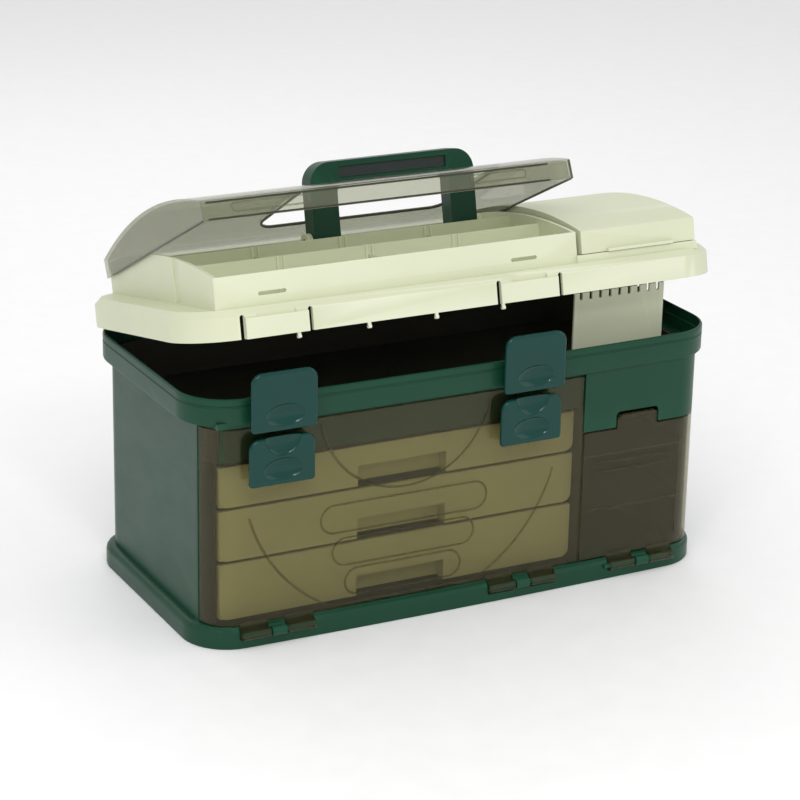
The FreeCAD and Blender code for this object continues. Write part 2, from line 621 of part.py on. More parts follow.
# ---------------------------------------------------------------- front panes

def pane(tag, x, z):
    """A thin sheet that follows the case's front and wraps one of its corners."""
    skin = cut(tag + "Skin", walls_outline(tag + "Outer", "0", z),
               walls_outline(tag + "Inner", "pane_thickness", (f"{z[0]} - 1", f"{z[1]} + 1")))
    window = box(tag + "Reach", x, (f"-{WALL_FRONT} - 2", f"corner_wrap - pane_gap - {WALL_FRONT}"), z)
    return common(tag + "Sheet", skin, window)


def pane_hinge(tag, middle):
    """Two loops with arms that hang a pane on its pin, and the bores for the pin."""
    solids, bores = [], []
    for side, stretch in enumerate(hinge_loops(middle)):
        name = "%sLoop%d" % (tag, side)
        solids.append(rod(name, stretch, f"-{FRONT_AXIS}", "hinge_height", "hinge_radius"))
        solids.append(box(name + "Arm", stretch, (f"-{WALL_FRONT}", f"arm_thickness - {WALL_FRONT}"),
                          ("hinge_height", f"{PANE_BOTTOM} + 2")))
        solids.append(box(name + "Web", stretch, (f"-{FRONT_AXIS}", f"arm_thickness - {WALL_FRONT}"),
                          ("hinge_height", "hinge_height + hinge_radius")))
        bores.append(rod(name + "Bore", (f"{stretch[0]} - 1", f"{stretch[1]} + 1"), f"-{FRONT_AXIS}",
                         "hinge_height", "pin_radius + pin_clearance"))
    return solids, bores


def build_front_cover():
    """Smoke cover over the drawers, hinged along the bottom, with ears for its latches."""
    sheet_part = pane("Cover", (f"-{WALL_END} - 1", f"{PARTITION} - pane_gap"),
                      (PANE_BOTTOM, "cover_top"))
    solids, holes = [sheet_part], []
    for place, middle in (("Left", LEFT_LATCH), ("Right", RIGHT_LATCH)):
        loops, bores = pane_hinge("Cover" + place, middle)
        solids += loops
        holes += bores
        for side in (-1, 1):
            start = f"{middle} + {side}*(hook_half + 1 + latch_ear/2)"
            ear = (f"{start} - latch_ear/2", f"{start} + latch_ear/2")
            mark = "%s%s" % (place, "LR"[side > 0])
            solids.append(rod("LowerEar" + mark, ear, f"-{LOWER_AXIS}", "lower_pivot", "latch_barrel"))
            solids.append(box("LowerWeb" + mark, ear, (f"-{LOWER_AXIS}", f"1 - {WALL_FRONT}"),
                              ("lower_pivot - latch_barrel", "lower_pivot + latch_barrel")))
            holes.append(rod("LowerEarBore" + mark, (f"{ear[0]} - 1", f"{ear[1]} + 1"),
                             f"-{LOWER_AXIS}", "lower_pivot", "latch_pin + pin_clearance"))
        holes.append(box("HookWindow" + place,
                         (f"{middle} - catch_half - 2", f"{middle} + catch_half + 2"),
                         (f"-{WALL_FRONT} - 1", f"1 - {PANE_INNER}"),
                         ("lower_pivot + lower_hook - 3", "lower_pivot + lower_hook + 8")))
    keep("front_cover", cut("FrontCover", fuse("CoverWhole", *solids), *holes))


def build_side_door():
    """Smoke door of the side bin with a finger tab."""
    door = pane("Door", (f"{PARTITION} + post_width/2", f"{WALL_END} + 1"), (PANE_BOTTOM, "door_top"))
    middle = f"({PARTITION} + tab_centre)"
    tab_x = (f"{middle} - tab_width/2", f"{middle} + tab_width/2")
    tab = box("DoorTab", tab_x, (f"-{WALL_FRONT}", f"-{PANE_INNER}"),
              ("door_top - 2", "door_top + tab_height - 1"))
    grip = box("DoorTabGrip", tab_x, (f"-{WALL_FRONT} - 2", f"-{PANE_INNER}"),
               ("door_top + tab_height - 4", "door_top + tab_height - 1"))
    loops, bores = pane_hinge("Door", DOOR_HINGE)
    keep("side_door", cut("SideDoor", fuse("DoorWhole", door, tab, grip, *loops), *bores))


def build_front_pins():
    """Pins of the three bottom hinges."""
    reach = "(hinge_knuckle/2 + hinge_gap + hinge_loop)"
    pins = []
    for place, middle in front_hinge_places().items():
        pins.append(rod("FrontPin" + place, (f"{middle} - {reach}", f"{middle} + {reach}"),
                        f"-{FRONT_AXIS}", "hinge_height", "pin_radius"))
    keep("front_hinge_pins", group("FrontHingePins", *pins))


# ---------------------------------------------------------------- latches

def build_latch(label, middle, axis, pivot, top, hook):
    """A flap on a barrel at its foot, with a thumb scoop and a hook on its back."""
    tag = label.title().replace("_", "")
    inner = f"({axis} + latch_stand)"
    outer = f"({inner} + latch_thickness)"
    flap = box(tag + "Flap", (f"{middle} - latch_width/2", f"{middle} + latch_width/2"),
               (f"-{outer}", f"-{inner}"), (f"{pivot} - latch_foot", top))
    soft = rounded(tag + "Soft", flap, "latch_corner", (0, 1, 0),
                   lambda point: point.z > box_middle(tag + "Flap"))
    barrel = rod(tag + "Barrel", (f"{middle} - hook_half", f"{middle} + hook_half"), f"-{axis}", pivot,
                 "latch_barrel")
    web = box(tag + "Web", (f"{middle} - hook_half", f"{middle} + hook_half"),
              (f"-{inner} - 1", f"-{axis}"), (f"{pivot} - latch_barrel", f"{pivot} + latch_barrel"))
    bore = rod(tag + "Bore", (f"{middle} - hook_half - 1", f"{middle} + hook_half + 1"), f"-{axis}",
               pivot, "latch_pin + pin_clearance")
    tip, low, half = hook
    arm = box(tag + "Hook", (f"{middle} - {half}", f"{middle} + {half}"), (f"-{inner} - 1", f"-{tip}"),
              (low, f"{low} + hook_thickness"))
    keep(label, cut(tag, fuse(tag + "Whole", soft, barrel, web, arm), bore))


def build_latches():
    """Two upper latches on the rim and two lower latches on the front cover, with their pins."""
    upper_hook = (f"({LID_FRONT} + pad_proud + catch_clearance)", "(upper_pivot + hook_height)",
                  "hook_half")
    lower_hook = (f"({PANE_INNER} - lower_hook_reach)", "(lower_pivot + lower_hook)", "catch_half")
    for side, middle in (("left", LEFT_LATCH), ("right", RIGHT_LATCH)):
        build_latch("upper_latch_" + side, middle, UPPER_AXIS, "upper_pivot", "upper_top", upper_hook)
        build_latch("lower_latch_" + side, middle, LOWER_AXIS, "lower_pivot", "lower_top", lower_hook)
    reach = "(hook_half + 1 + latch_ear)"
    for label, axis, pivot in (("upper_latch_pins", UPPER_AXIS, "upper_pivot"),
                               ("lower_latch_pins", LOWER_AXIS, "lower_pivot")):
        pins = []
        for side, middle in (("Left", LEFT_LATCH), ("Right", RIGHT_LATCH)):
            pins.append(rod(label.title().replace("_", "") + side,
                            (f"{middle} - {reach}", f"{middle} + {reach}"), f"-{axis}", pivot,
                            "latch_pin"))
        keep(label, group(label.title().replace("_", "") + "Group", *pins))


# ---------------------------------------------------------------- lid

def top_hinge_places():
    """Middle of each hinge on the lid's rear edge: two for the clear cover, one for the side lid."""
    return {"ClearLeft": f"{TRAY_LEFT} + top_inset", "ClearRight": f"{TRAY_RIGHT} - top_inset",
            "Side": f"({SIDE_LEFT} + {SIDE_RIGHT})/2"}


def build_lid():
    """Lid moulding: skirt, roof, open tray, handle channel, curb of the side opening, hinge ears."""
    skirt = bevelled(lid_outline("Skirt", "0", (LID_BOTTOM, "lid_top")), "lid_bevel")
    under = lid_outline("Under", "lid_wall", (f"{LID_BOTTOM} - 1", "lid_top - lid_roof"))
    tray_x = (TRAY_LEFT, TRAY_RIGHT)
    tray_y = (f"-{TRAY_FRONT}", "tray_back")
    inner_x = (f"{TRAY_LEFT} + tray_wall", f"{TRAY_RIGHT} - tray_wall")
    root = "(lid_top - 1)"

    end_block = box("TrayEnds", tray_x, tray_y, (root, "tray_front + tray_rise + 1"))
    end_dome = dome("TrayDome", tray_x, f"-{TRAY_FRONT}", "tray_back", "tray_front", "tray_rise")
    end_walls = cut("TrayEndWalls", common("TrayDomed", end_block, end_dome),
                    box("TrayBetween", inner_x, (f"-{TRAY_FRONT} - 1", "tray_back + 1"),
                        ("lid_top - 2", "tray_front + tray_rise + 2")))
    front_wall = box("TrayFrontWall", tray_x, (f"-{TRAY_FRONT}", f"tray_wall - {TRAY_FRONT}"),
                     (root, "tray_front"))
    back_wall = box("TrayBackWall", tray_x, ("tray_back - tray_wall", "tray_back"), (root, "tray_front"))
    wide_x = (f"{TRAY_LEFT} + 1", f"{TRAY_RIGHT} - 1")
    first = box("RowOne", wide_x, ("-row_one - cross_thickness", "-row_one"), (root, "row_one_top"))
    second = box("RowTwo", wide_x, ("-row_two - cross_thickness", "-row_two"), (root, "row_two_top"))
    deck = box("HandleDeck", wide_x, ("-row_two - 1", "deck_depth - row_two"),
               ("deck_top - cross_thickness", "deck_top"))
    deck_back = box("DeckBack", wide_x,
                    ("deck_depth - row_two - cross_thickness", "deck_depth - row_two"),
                    (root, "deck_top"))

    curb_outer = box("CurbOuter", (f"{TRAY_RIGHT} - 1", f"{SIDE_RIGHT} + 1"),
                     (f"-{SIDE_FRONT} - 1", "tray_back"), (root, f"{SIDE_BOTTOM} - 0.5"))
    hole = box("SideHole", (f"{SIDE_LEFT} + side_margin", f"{SIDE_RIGHT} - side_margin"),
               (f"side_margin + 4 - {SIDE_FRONT}", "tray_back - side_margin - 4"),
               (f"{LID_BOTTOM} - 1", f"{SIDE_BOTTOM} + 1"))

    extras = [cut("LidShell", skirt, under), end_walls, front_wall, back_wall, first, second, deck,
              deck_back, curb_outer]
    slots = [hole]
    for side in (-1, 1):
        start = f"{side}*({HANDLE_END} + handle_gap + handle_ear/2)"
        ear = (f"{start} - handle_ear/2", f"{start} + handle_ear/2")
        mark = "LR"[side > 0]
        extras.append(rod("HandleEar" + mark, ear, "handle_axis_y", "handle_axis_z",
                          "handle_depth/2 - 1"))
        extras.append(box("HandleEarWeb" + mark, ear,
                          ("handle_axis_y - handle_depth/2 + 1", "handle_axis_y + handle_depth/2 - 1"),
                          ("deck_top - 1", "handle_axis_z")))
        slots.append(rod("HandleEarBore" + mark, (f"{ear[0]} - 1", f"{ear[1]} + 1"), "handle_axis_y",
                         "handle_axis_z", "handle_pin + pin_clearance"))
    for place, middle in (("Left", LEFT_LATCH), ("Right", RIGHT_LATCH)):
        extras.append(box("LatchPad" + place, (f"{middle} - pad_width/2", f"{middle} + pad_width/2"),
                          (f"-{LID_FRONT} - pad_proud", f"lid_wall/2 + 1 - {LID_FRONT}"),
                          (LID_BOTTOM, f"{LID_BOTTOM} + pad_height")))
        slots.append(box("LatchCatch" + place,
                         (f"{middle} - hook_half - 1", f"{middle} + hook_half + 1"),
                         (f"-{LID_FRONT} - 2", f"catch_depth - {LID_FRONT}"),
                         (f"{LID_BOTTOM} + pad_height",
                          "upper_pivot + hook_height + hook_thickness + 1")))
    for place, middle in enumerate(lid_hinge_places()):
        mark = str(place)
        knuckle = (f"{middle} - lid_knuckle/2", f"{middle} + lid_knuckle/2")
        clear = (f"{middle} - lid_knuckle/2 - hinge_gap - lid_hinge_ear",
                 f"{middle} + lid_knuckle/2 + hinge_gap + lid_hinge_ear")
        slots.append(box("LidEarRoom" + mark, clear, ("lid_axis_y - lid_wall - 1", "lid_axis_y + 8"),
                         (f"{LID_BOTTOM} - 9", f"{RIM_TOP} + lid_hinge_radius + 1")))
        slots.append(rod("LidKnuckleBore" + mark, (f"{knuckle[0]} - 1", f"{knuckle[1]} + 1"),
                         "lid_axis_y", RIM_TOP, "pin_radius + pin_clearance"))
    for place, middle in top_hinge_places().items():
        for side in (-1, 1):
            start = f"{middle} + {side}*(top_knuckle/2 + hinge_gap/2 + top_ear/2)"
            ear = (f"{start} - top_ear/2", f"{start} + top_ear/2")
            mark = place + "LR"[side > 0]
            extras.append(rod("TopEar" + mark, ear, "clear_axis_y", "clear_axis_z", "top_radius"))
            extras.append(box("TopEarWeb" + mark, ear, ("tray_back - 1", "clear_axis_y + top_radius"),
                              ("lid_top - lid_roof", "clear_axis_z - top_radius")))
            extras.append(box("TopEarPost" + mark, ear,
                              ("clear_axis_y - top_radius", "clear_axis_y + top_radius"),
                              ("lid_top - lid_roof", "clear_axis_z")))
            slots.append(rod("TopEarBore" + mark, (f"{ear[0]} - 1", f"{ear[1]} + 1"), "clear_axis_y",
                             "clear_axis_z", "top_pin + pin_clearance"))
    lid = cut("LidBlank", fuse("LidWhole", *extras), *slots)

    knuckles, bores = [lid], []
    for place, middle in enumerate(lid_hinge_places()):
        mark = str(place)
        knuckle = (f"{middle} - lid_knuckle/2", f"{middle} + lid_knuckle/2")
        knuckles.append(rod("LidKnuckle" + mark, knuckle, "lid_axis_y", RIM_TOP, "lid_hinge_radius"))
        knuckles.append(box("LidKnuckleWeb" + mark, knuckle, ("lid_axis_y - 2", "lid_axis_y + 1"),
                            (RIM_TOP, "lid_top - lid_bevel")))
        bores.append(rod("LidBore" + mark, (f"{knuckle[0]} - 1", f"{knuckle[1]} + 1"),
                         "lid_axis_y", RIM_TOP, "pin_radius + pin_clearance"))
    keep("lid_tray", cut("LidTray", fuse("LidKnuckled", *knuckles), *bores), LID_TURN)


def build_lid_fittings():
    """Loose cross dividers of the tray and the pins that the lid carries."""
    rows = [(f"tray_wall - {TRAY_FRONT}", "-row_one - cross_thickness", "tray_front - 3", (2,)),
            ("-row_one", "-row_two - cross_thickness", "tray_front + 2", (1, 3)),
            ("deck_depth - row_two", "tray_back - tray_wall", "deck_top - 3", (2,))]
    dividers = []
    span = f"({TRAY_RIGHT} - {TRAY_LEFT} - 2*tray_wall)"
    for row, (near, far, top, quarters) in enumerate(rows):
        for index in quarters:
            place = f"({TRAY_LEFT} + tray_wall + {index}*{span}/4)"
            dividers.append(box("Cross%d%d" % (row, index),
                                (f"{place} - cross_thickness/2", f"{place} + cross_thickness/2"),
                                (f"{near} + 0.2", f"{far} - 0.2"), ("lid_top", top)))
    keep("tray_dividers", group("TrayDividers", *dividers), LID_TURN)

    pins = []
    reach = "(top_knuckle/2 + hinge_gap/2 + top_ear)"
    for place, middle in top_hinge_places().items():
        pins.append(rod("TopPin" + place, (f"{middle} - {reach}", f"{middle} + {reach}"),
                        "clear_axis_y", "clear_axis_z", "top_pin"))
    keep("top_hinge_pins", group("TopHingePins", *pins), LID_TURN)

    bolts = []
    for side in (-1, 1):
        outer = f"({HANDLE_END} + handle_gap + handle_ear)"
        inner = f"({HANDLE_END} - handle_leg)"
        x = (inner, outer) if side > 0 else (f"-{outer}", f"-{inner}")
        bolts.append(rod("HandlePin" + "LR"[side > 0], x, "handle_axis_y", "handle_axis_z",
                         "handle_pin"))
    keep("handle_pins", group("HandlePins", *bolts), LID_TURN)


def build_lid_pins():
    """Pins of the lid's rear hinges, held by the case."""
    reach = "(lid_knuckle/2 + hinge_gap/2 + lid_hinge_ear)"
    pins = []
    for place, middle in enumerate(lid_hinge_places()):
        pins.append(rod("LidPin%d" % place, (f"{middle} - {reach}", f"{middle} + {reach}"),
                        "lid_axis_y", RIM_TOP, "pin_radius"))
    keep("lid_hinge_pins", group("LidHingePins", *pins))


# ---------------------------------------------------------------- covers and handle on the lid

def top_knuckle(tag, middle, wall_y):
    """Knuckle on the rear edge of something that turns on the lid's rear ears."""
    stretch = (f"{middle} - top_knuckle/2", f"{middle} + top_knuckle/2")
    barrel = rod(tag + "Barrel", stretch, "clear_axis_y", "clear_axis_z", "top_radius")
    arm = box(tag + "Arm", stretch, (f"{wall_y} - 1", "clear_axis_y"),
              ("clear_axis_z + top_radius - 1.2", "clear_axis_z + top_radius + 4"))
    post = box(tag + "Post", stretch, ("clear_axis_y - top_radius + 0.5", "clear_axis_y"),
               ("clear_axis_z", "clear_axis_z + top_radius + 4"))
    bore = rod(tag + "Bore", (f"{stretch[0]} - 1", f"{stretch[1]} + 1"), "clear_axis_y",
               "clear_axis_z", "top_pin + pin_clearance")
    return [barrel, arm, post], [bore]


def domed_shell(tag, x, y, low, front_top, rise, wall, rear_low):
    """A hollow cover with a barrel-shaped top whose back wall stops above its hinge."""
    outer = common(tag + "Outer", box(tag + "Block", x, y, (low, f"{front_top} + {rise} + 1")),
                   dome(tag + "Dome", (f"{x[0]} - 1", f"{x[1]} + 1"), y[0], y[1], front_top, rise))
    in_x = (f"{x[0]} + {wall}", f"{x[1]} - {wall}")
    in_y = (f"{y[0]} + {wall}", f"{y[1]} - {wall}")
    inner = common(tag + "Inner",
                   box(tag + "Room", in_x, in_y, (f"{low} - 1", f"{front_top} + {rise}")),
                   dome(tag + "RoomDome", x, y[0], y[1], f"{front_top} - {wall}", rise))
    relief = box(tag + "Relief", in_x, (f"{y[1]} - 3*{wall}", f"{y[1]} + 1"), (f"{low} - 1", rear_low))
    return outer, [inner, relief]


def build_clear_cover():
    """Smoke cover over the tray with a window for the handle."""
    x = (f"({TRAY_LEFT} - clear_gap - clear_thickness)",
         f"({TRAY_RIGHT} + clear_gap + clear_thickness)")
    y = (f"(-{TRAY_FRONT} - clear_front_gap - clear_thickness)",
         "(tray_back + clear_gap + clear_thickness)")
    outer, rooms = domed_shell("Clear", x, y, "clear_bottom", "clear_bottom + clear_front_rise",
                               "clear_rise - clear_front_rise", "clear_thickness",
                               "clear_axis_z + top_radius + 0.6")
    window = box("Window", ("-window_width/2", "window_width/2"), ("-window_front", "window_back"),
                 ("clear_bottom", "clear_bottom + clear_rise + 5"))
    doc.recompute()
    opening = rounded("WindowRound", window, "window_corner", (0, 0, 1), lambda point: True)
    shell = cut("ClearShell", outer, *rooms)
    solids, bores = [shell], []
    for place in ("ClearLeft", "ClearRight"):
        more, holes = top_knuckle(place, top_hinge_places()[place], y[1])
        solids += more
        bores += holes
    keep("clear_cover", cut("ClearCover", fuse("ClearWhole", *solids), opening, *bores),
         CLEAR_TURN, LID_TURN)


def build_side_lid():
    """Small domed lid over the lure rack."""
    x = (SIDE_LEFT, SIDE_RIGHT)
    y = (f"(-{SIDE_FRONT})", "(tray_back + clear_gap + clear_thickness)")
    outer, rooms = domed_shell("SideLid", x, y, SIDE_BOTTOM, "side_front", "side_rise", "side_wall",
                               "clear_axis_z + top_radius + 0.6")
    middle = f"({SIDE_LEFT} + {SIDE_RIGHT})/2"
    lip = box("SideLip", (f"{middle} - side_lip/2", f"{middle} + side_lip/2"),
              (f"{y[0]} - side_lip_reach", f"{y[0]} + 1"), (SIDE_BOTTOM, f"{SIDE_BOTTOM} + side_wall"))
    more, bores = top_knuckle("SideKnuckle", middle, y[1])
    shell = cut("SideShell", outer, *rooms)
    keep("side_lid", cut("SideLid", fuse("SideWhole", shell, lip, *more), *bores), LID_TURN)


def build_handle():
    """Carrying handle that folds back flat, with a soft pad let into its grip."""
    depth = ("handle_axis_y - handle_depth/2", "handle_axis_y + handle_depth/2")
    frame = box("HandleBlock", (f"-{HANDLE_END}", HANDLE_END), depth, ("handle_axis_z", "handle_top"))
    soft = rounded("HandleSoft", frame, "handle_corner", (0, 1, 0),
                   lambda point: point.z > box_middle("HandleBlock"))
    gap = box("HandleGap", (f"handle_leg - {HANDLE_END}", f"{HANDLE_END} - handle_leg"),
              ("handle_axis_y - handle_depth", "handle_axis_y + handle_depth"),
              ("handle_axis_z - 20", "handle_top - handle_bar"))
    gap_round = rounded("HandleGapRound", gap, "face_corner", (0, 1, 0),
                        lambda point: point.z > box_middle("HandleGap"))
    feet = []
    bores = [gap_round]
    for side in (-1, 1):
        x = (f"{HANDLE_END} - handle_leg", HANDLE_END)
        if side < 0:
            x = (f"-{HANDLE_END}", f"handle_leg - {HANDLE_END}")
        mark = "LR"[side > 0]
        feet.append(rod("HandleFoot" + mark, x, "handle_axis_y", "handle_axis_z",
                        "handle_depth/2 - 1"))
        bores.append(rod("HandleBore" + mark, (f"{x[0]} - 1", f"{x[1]} + 1"), "handle_axis_y",
                         "handle_axis_z", "handle_pin + pin_clearance"))
    middle_z = "(handle_top - handle_bar/2)"
    recess = box("GripRecess", ("-grip_width/2", "grip_width/2"),
                 (f"{depth[0]} - 1", f"{depth[0]} + grip_depth"),
                 (f"{middle_z} - grip_height/2", f"{middle_z} + grip_height/2"))
    keep("handle", cut("Handle", fuse("HandleWhole", soft, *feet), *bores, recess), LID_TURN)
    pad = box("GripPad", ("0.2 - grip_width/2", "grip_width/2 - 0.2"),
              (f"{depth[0]} + grip_depth - grip_thickness", f"{depth[0]} + grip_depth"),
              (f"{middle_z} + 0.2 - grip_height/2", f"{middle_z} + grip_height/2 - 0.2"))
    keep("grip_pad", group("GripPadHeld", pad), LID_TURN)


# ---------------------------------------------------------------- build, check, write

def check():
    """Stop at any failed object or bad shape before a file is written."""
    doc.recompute()
    for obj in doc.Objects:
        bad = [word for word in obj.State if word in ("Invalid", "Error")]
        if bad:
            raise RuntimeError("%s failed: %s" % (obj.Name, bad))
    for label, obj in parts.items():
        shape = obj.Shape
        if shape.isNull() or not shape.isValid() or shape.Volume <= 0:
            raise RuntimeError("%s has a bad shape" % label)


def main():
    build_case()
    build_inside()
    build_rack()
    for name, (low, high) in zip(("drawer_bottom", "drawer_middle", "drawer_top"), drawer_levels()):
        build_drawer(name, low, high)
    build_front_cover()
    build_side_door()
    build_front_pins()
    build_latches()
    build_lid()
    build_lid_fittings()
    build_lid_pins()
    build_clear_cover()
    build_side_lid()
    build_handle()
    check()
    os.makedirs("parts", exist_ok=True)
    for label, obj in parts.items():
        obj.Shape.exportStep("parts/%s.step" % label)
        size = obj.Shape.BoundBox
        print("%-24s solids %d  %7.1f cm3  x %.1f..%.1f  y %.1f..%.1f  z %.1f..%.1f" % (
            label, len(obj.Shape.Solids), obj.Shape.Volume / 1000, size.XMin, size.XMax,
            size.YMin, size.YMax, size.ZMin, size.ZMax))


main()
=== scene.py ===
"""Fishing tackle box: a hip-roof case with three drawers, a side bin and a lidded tray on top.

Each operator builds one piece, or one group of like pieces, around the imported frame.  Sizes in
this file are millimetres in the frame's own axes: X to the right, Y to the back and Z up.
"""

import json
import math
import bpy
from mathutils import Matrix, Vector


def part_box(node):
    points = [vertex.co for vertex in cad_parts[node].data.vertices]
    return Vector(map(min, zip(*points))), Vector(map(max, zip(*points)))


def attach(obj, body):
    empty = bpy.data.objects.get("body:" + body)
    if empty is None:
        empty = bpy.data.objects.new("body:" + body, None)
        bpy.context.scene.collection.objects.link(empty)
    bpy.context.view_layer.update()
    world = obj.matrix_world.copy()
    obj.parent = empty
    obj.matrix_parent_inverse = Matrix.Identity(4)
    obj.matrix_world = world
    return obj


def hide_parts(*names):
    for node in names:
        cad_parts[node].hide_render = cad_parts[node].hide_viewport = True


bl_info = {
    "name": "Fishing Tackle Box",
    "version": (1, 0, 0),
    "blender": (4, 5, 0),
    "location": "View3D > Sidebar > Tackle Box",
    "description": "Builds the visible pieces of a fishing tackle box around its packed frame",
    "category": "Object",
}

import bmesh
import bpy
from mathutils import Matrix, Vector

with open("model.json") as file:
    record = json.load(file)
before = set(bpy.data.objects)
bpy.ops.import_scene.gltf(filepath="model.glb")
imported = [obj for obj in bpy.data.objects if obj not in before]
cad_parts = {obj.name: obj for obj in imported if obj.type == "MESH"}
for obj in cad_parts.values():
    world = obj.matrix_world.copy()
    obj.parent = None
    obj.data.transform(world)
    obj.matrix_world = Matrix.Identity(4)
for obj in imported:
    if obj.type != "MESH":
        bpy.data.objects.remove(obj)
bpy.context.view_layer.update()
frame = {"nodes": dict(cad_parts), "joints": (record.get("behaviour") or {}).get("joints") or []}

MM = 0.001


# ------------------------------------------------------------ places read from the frame

def in_size(name):
    """One of the user's sizes, in millimetres."""
    return getattr(bpy.context.scene.tackle_sizes, name) / MM


def joint(name):
    """The record of one joint."""
    return next(row for row in frame["joints"] if row["name"] == name)


def in_mm(point):
    """A point of the frame in millimetres."""
    return Vector(point) / MM


def node_box(*nodes):
    """Lowest and highest corner of some CAD nodes, in millimetres."""
    boxes = [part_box(node) for node in nodes]
    low = Vector([min(b[0][i] for b in boxes) for i in range(3)])
    high = Vector([max(b[1][i] for b in boxes) for i in range(3)])
    return low / MM, high / MM


def turn_about(point, degrees):
    """The turn about a line along X through a point."""
    spin = Matrix.Rotation(math.radians(degrees), 4, "X")
    return Matrix.Translation(point) @ spin @ Matrix.Translation(-point)


LID_AXIS = in_mm(joint("lid_hinge")["pos_m"])
LID_OPEN = turn_about(LID_AXIS, joint("lid_hinge")["range_deg"][0])
TOP_AXIS = LID_OPEN.inverted() @ in_mm(joint("clear_cover_hinge")["pos_m"])
COVER_OPEN = LID_OPEN @ turn_about(TOP_AXIS, joint("clear_cover_hinge")["range_deg"][0])
FRONT_AXIS = in_mm(joint("front_cover_hinge")["pos_m"])

CASE_NODES = ("case_base", "case_left", "case_right", "case_back", "case_front",
              "rim_left", "rim_right", "rim_back", "rim_front")
PLINTH = node_box("case_base")
WALLS = node_box("case_left", "case_right", "case_back")
RIM = node_box("rim_left", "rim_right")
COVER = node_box("front_cover")
DOOR = node_box("side_door")
PARTITION = node_box("bin_partition")
CASE_LEFT = WALLS[0].x
CASE_RIGHT = WALLS[1].x
PLINTH_TOP = PLINTH[1].z
RIM_TOP = RIM[1].z
BAY_RIGHT = PARTITION[0].x
DOOR_HINGE_X = (DOOR[0].x + DOOR[1].x) / 2
LATCH_PLACES = {side: in_mm(joint("upper_latch_%s_pivot" % side)["pos_m"]).x
                for side in ("left", "right")}

WALL_TOP = 180.0
WALL_THICK = 3.0
WALL_BOW = 0.6
COVER_FACE = 110.5       # the panes' outer face is this far in front of Y = 0
PANE_THICK = 2.5
PANE_GAP = 1.5           # between the plinth's top and the foot of a pane
PANE_ROOM = (-113.0, -86.5)
PANE_BACK = PANE_ROOM[1] - 1.5
DOOR_TOP = 128.5
HINGE_RADIUS = 4.0
HINGE_LOOP = 23.0
HINGE_KNUCKLE = 12.0
HINGE_GAP = 1.5
LATCH_PIVOTS = {"upper": (-117.0, 181.0), "lower": (-113.5, 137.0)}     # Y and Z
LATCH_TOPS = {"upper": 224.0, "lower": 171.5}
LATCH_HALF = 27.0
BARREL_HALF = 15.0
BARREL_RADIUS = 2.2
EAR_OUT = 18.0           # from a latch's middle to each of its ears
SNAP_ROOM = 2.1          # left free behind the upper latches' hooks for the snap

FRONT_STEPS = 28         # points along a plan's bowed front
CORNER_STEPS = 9         # points round each of its corners
BEAD_STEPS = 8           # points round a bead
SMOOTH_ANGLE = 32        # edges sharper than this stay sharp
TINY = 1e-6
WELD_GAP = 1e-6          # metres, between points of a CAD mesh that are one
MERGE_GAP = 2e-7         # metres, the same in a finished piece
FLAT_ANGLE = 0.6         # degrees, below which CAD facets become one face


# ------------------------------------------------------------ mesh building

def object_from(bm, name):
    """A new object in the scene for a mesh under construction, which is freed."""
    mesh = bpy.data.meshes.new(name)
    bm.to_mesh(mesh)
    bm.free()
    obj = bpy.data.objects.new(name, mesh)
    bpy.context.scene.collection.objects.link(obj)
    return obj


def solid_from(loops, ring=False):
    """A closed mesh through loops of points; a ring joins its last loop to its first."""
    bm = bmesh.new()
    rows = [[bm.verts.new(point) for point in loop] for loop in loops]
    count = len(rows[0])
    following = rows[1:] + rows[:1] if ring else rows[1:]
    for near, far in zip(rows, following):
        for i in range(count):
            j = (i + 1) % count
            bm.faces.new((near[i], near[j], far[j], far[i]))
    if not ring:
        bm.faces.new(list(reversed(rows[0])))
        bm.faces.new(rows[-1])
    bmesh.ops.recalc_face_normals(bm, faces=bm.faces)
    return object_from(bm, "part")


def turns(steps):
    """Equal angles round a circle."""
    return [2 * math.pi * i / steps for i in range(steps)]


def block(x, y, z):
    """A brick between two places along each axis."""
    foot = [(x[0], y[0]), (x[1], y[0]), (x[1], y[1]), (x[0], y[1])]
    return solid_from([[(px, py, pz) for px, py in foot] for pz in z])


def bar(x, y, z, radius, steps=28):
    """A round bar along X."""
    ring = [(y + radius * math.cos(t), z + radius * math.sin(t)) for t in turns(steps)]
    return solid_from([[(px, py, pz) for py, pz in ring] for px in x])


def slab(points, depth, along="Y"):
    """A flat outline pushed through a depth along Y, Z or X."""
    place = {"Y": lambda a, b, d: (a, d, b), "Z": lambda a, b, d: (a, b, d),
             "X": lambda a, b, d: (d, a, b)}[along]
    return solid_from([[place(a, b, d) for a, b in points] for d in depth])


def rounded_box(a, b, radii, steps=6):
    """Outline of a rectangle whose corners, from the low left one round, have their own radii."""
    corners = [(a[0], b[0], 1, 1, math.pi), (a[1], b[0], -1, 1, 1.5 * math.pi),
               (a[1], b[1], -1, -1, 0.0), (a[0], b[1], 1, -1, 0.5 * math.pi)]
    points = []
    for (x, y, sx, sy, start), radius in zip(corners, radii):
        if radius <= 0:
            points.append((x, y))
            continue
        for i in range(steps + 1):
            angle = start + 0.5 * math.pi * i / steps
            points.append((x + sx * radius + radius * math.cos(angle),
                           y + sy * radius + radius * math.sin(angle)))
    return points


def capsule(a, b, steps=10):
    """Outline of a slot with round ends along its longer side."""
    radius = min(a[1] - a[0], b[1] - b[0]) / 2
    return rounded_box(a, b, [radius * 0.999] * 4, steps)


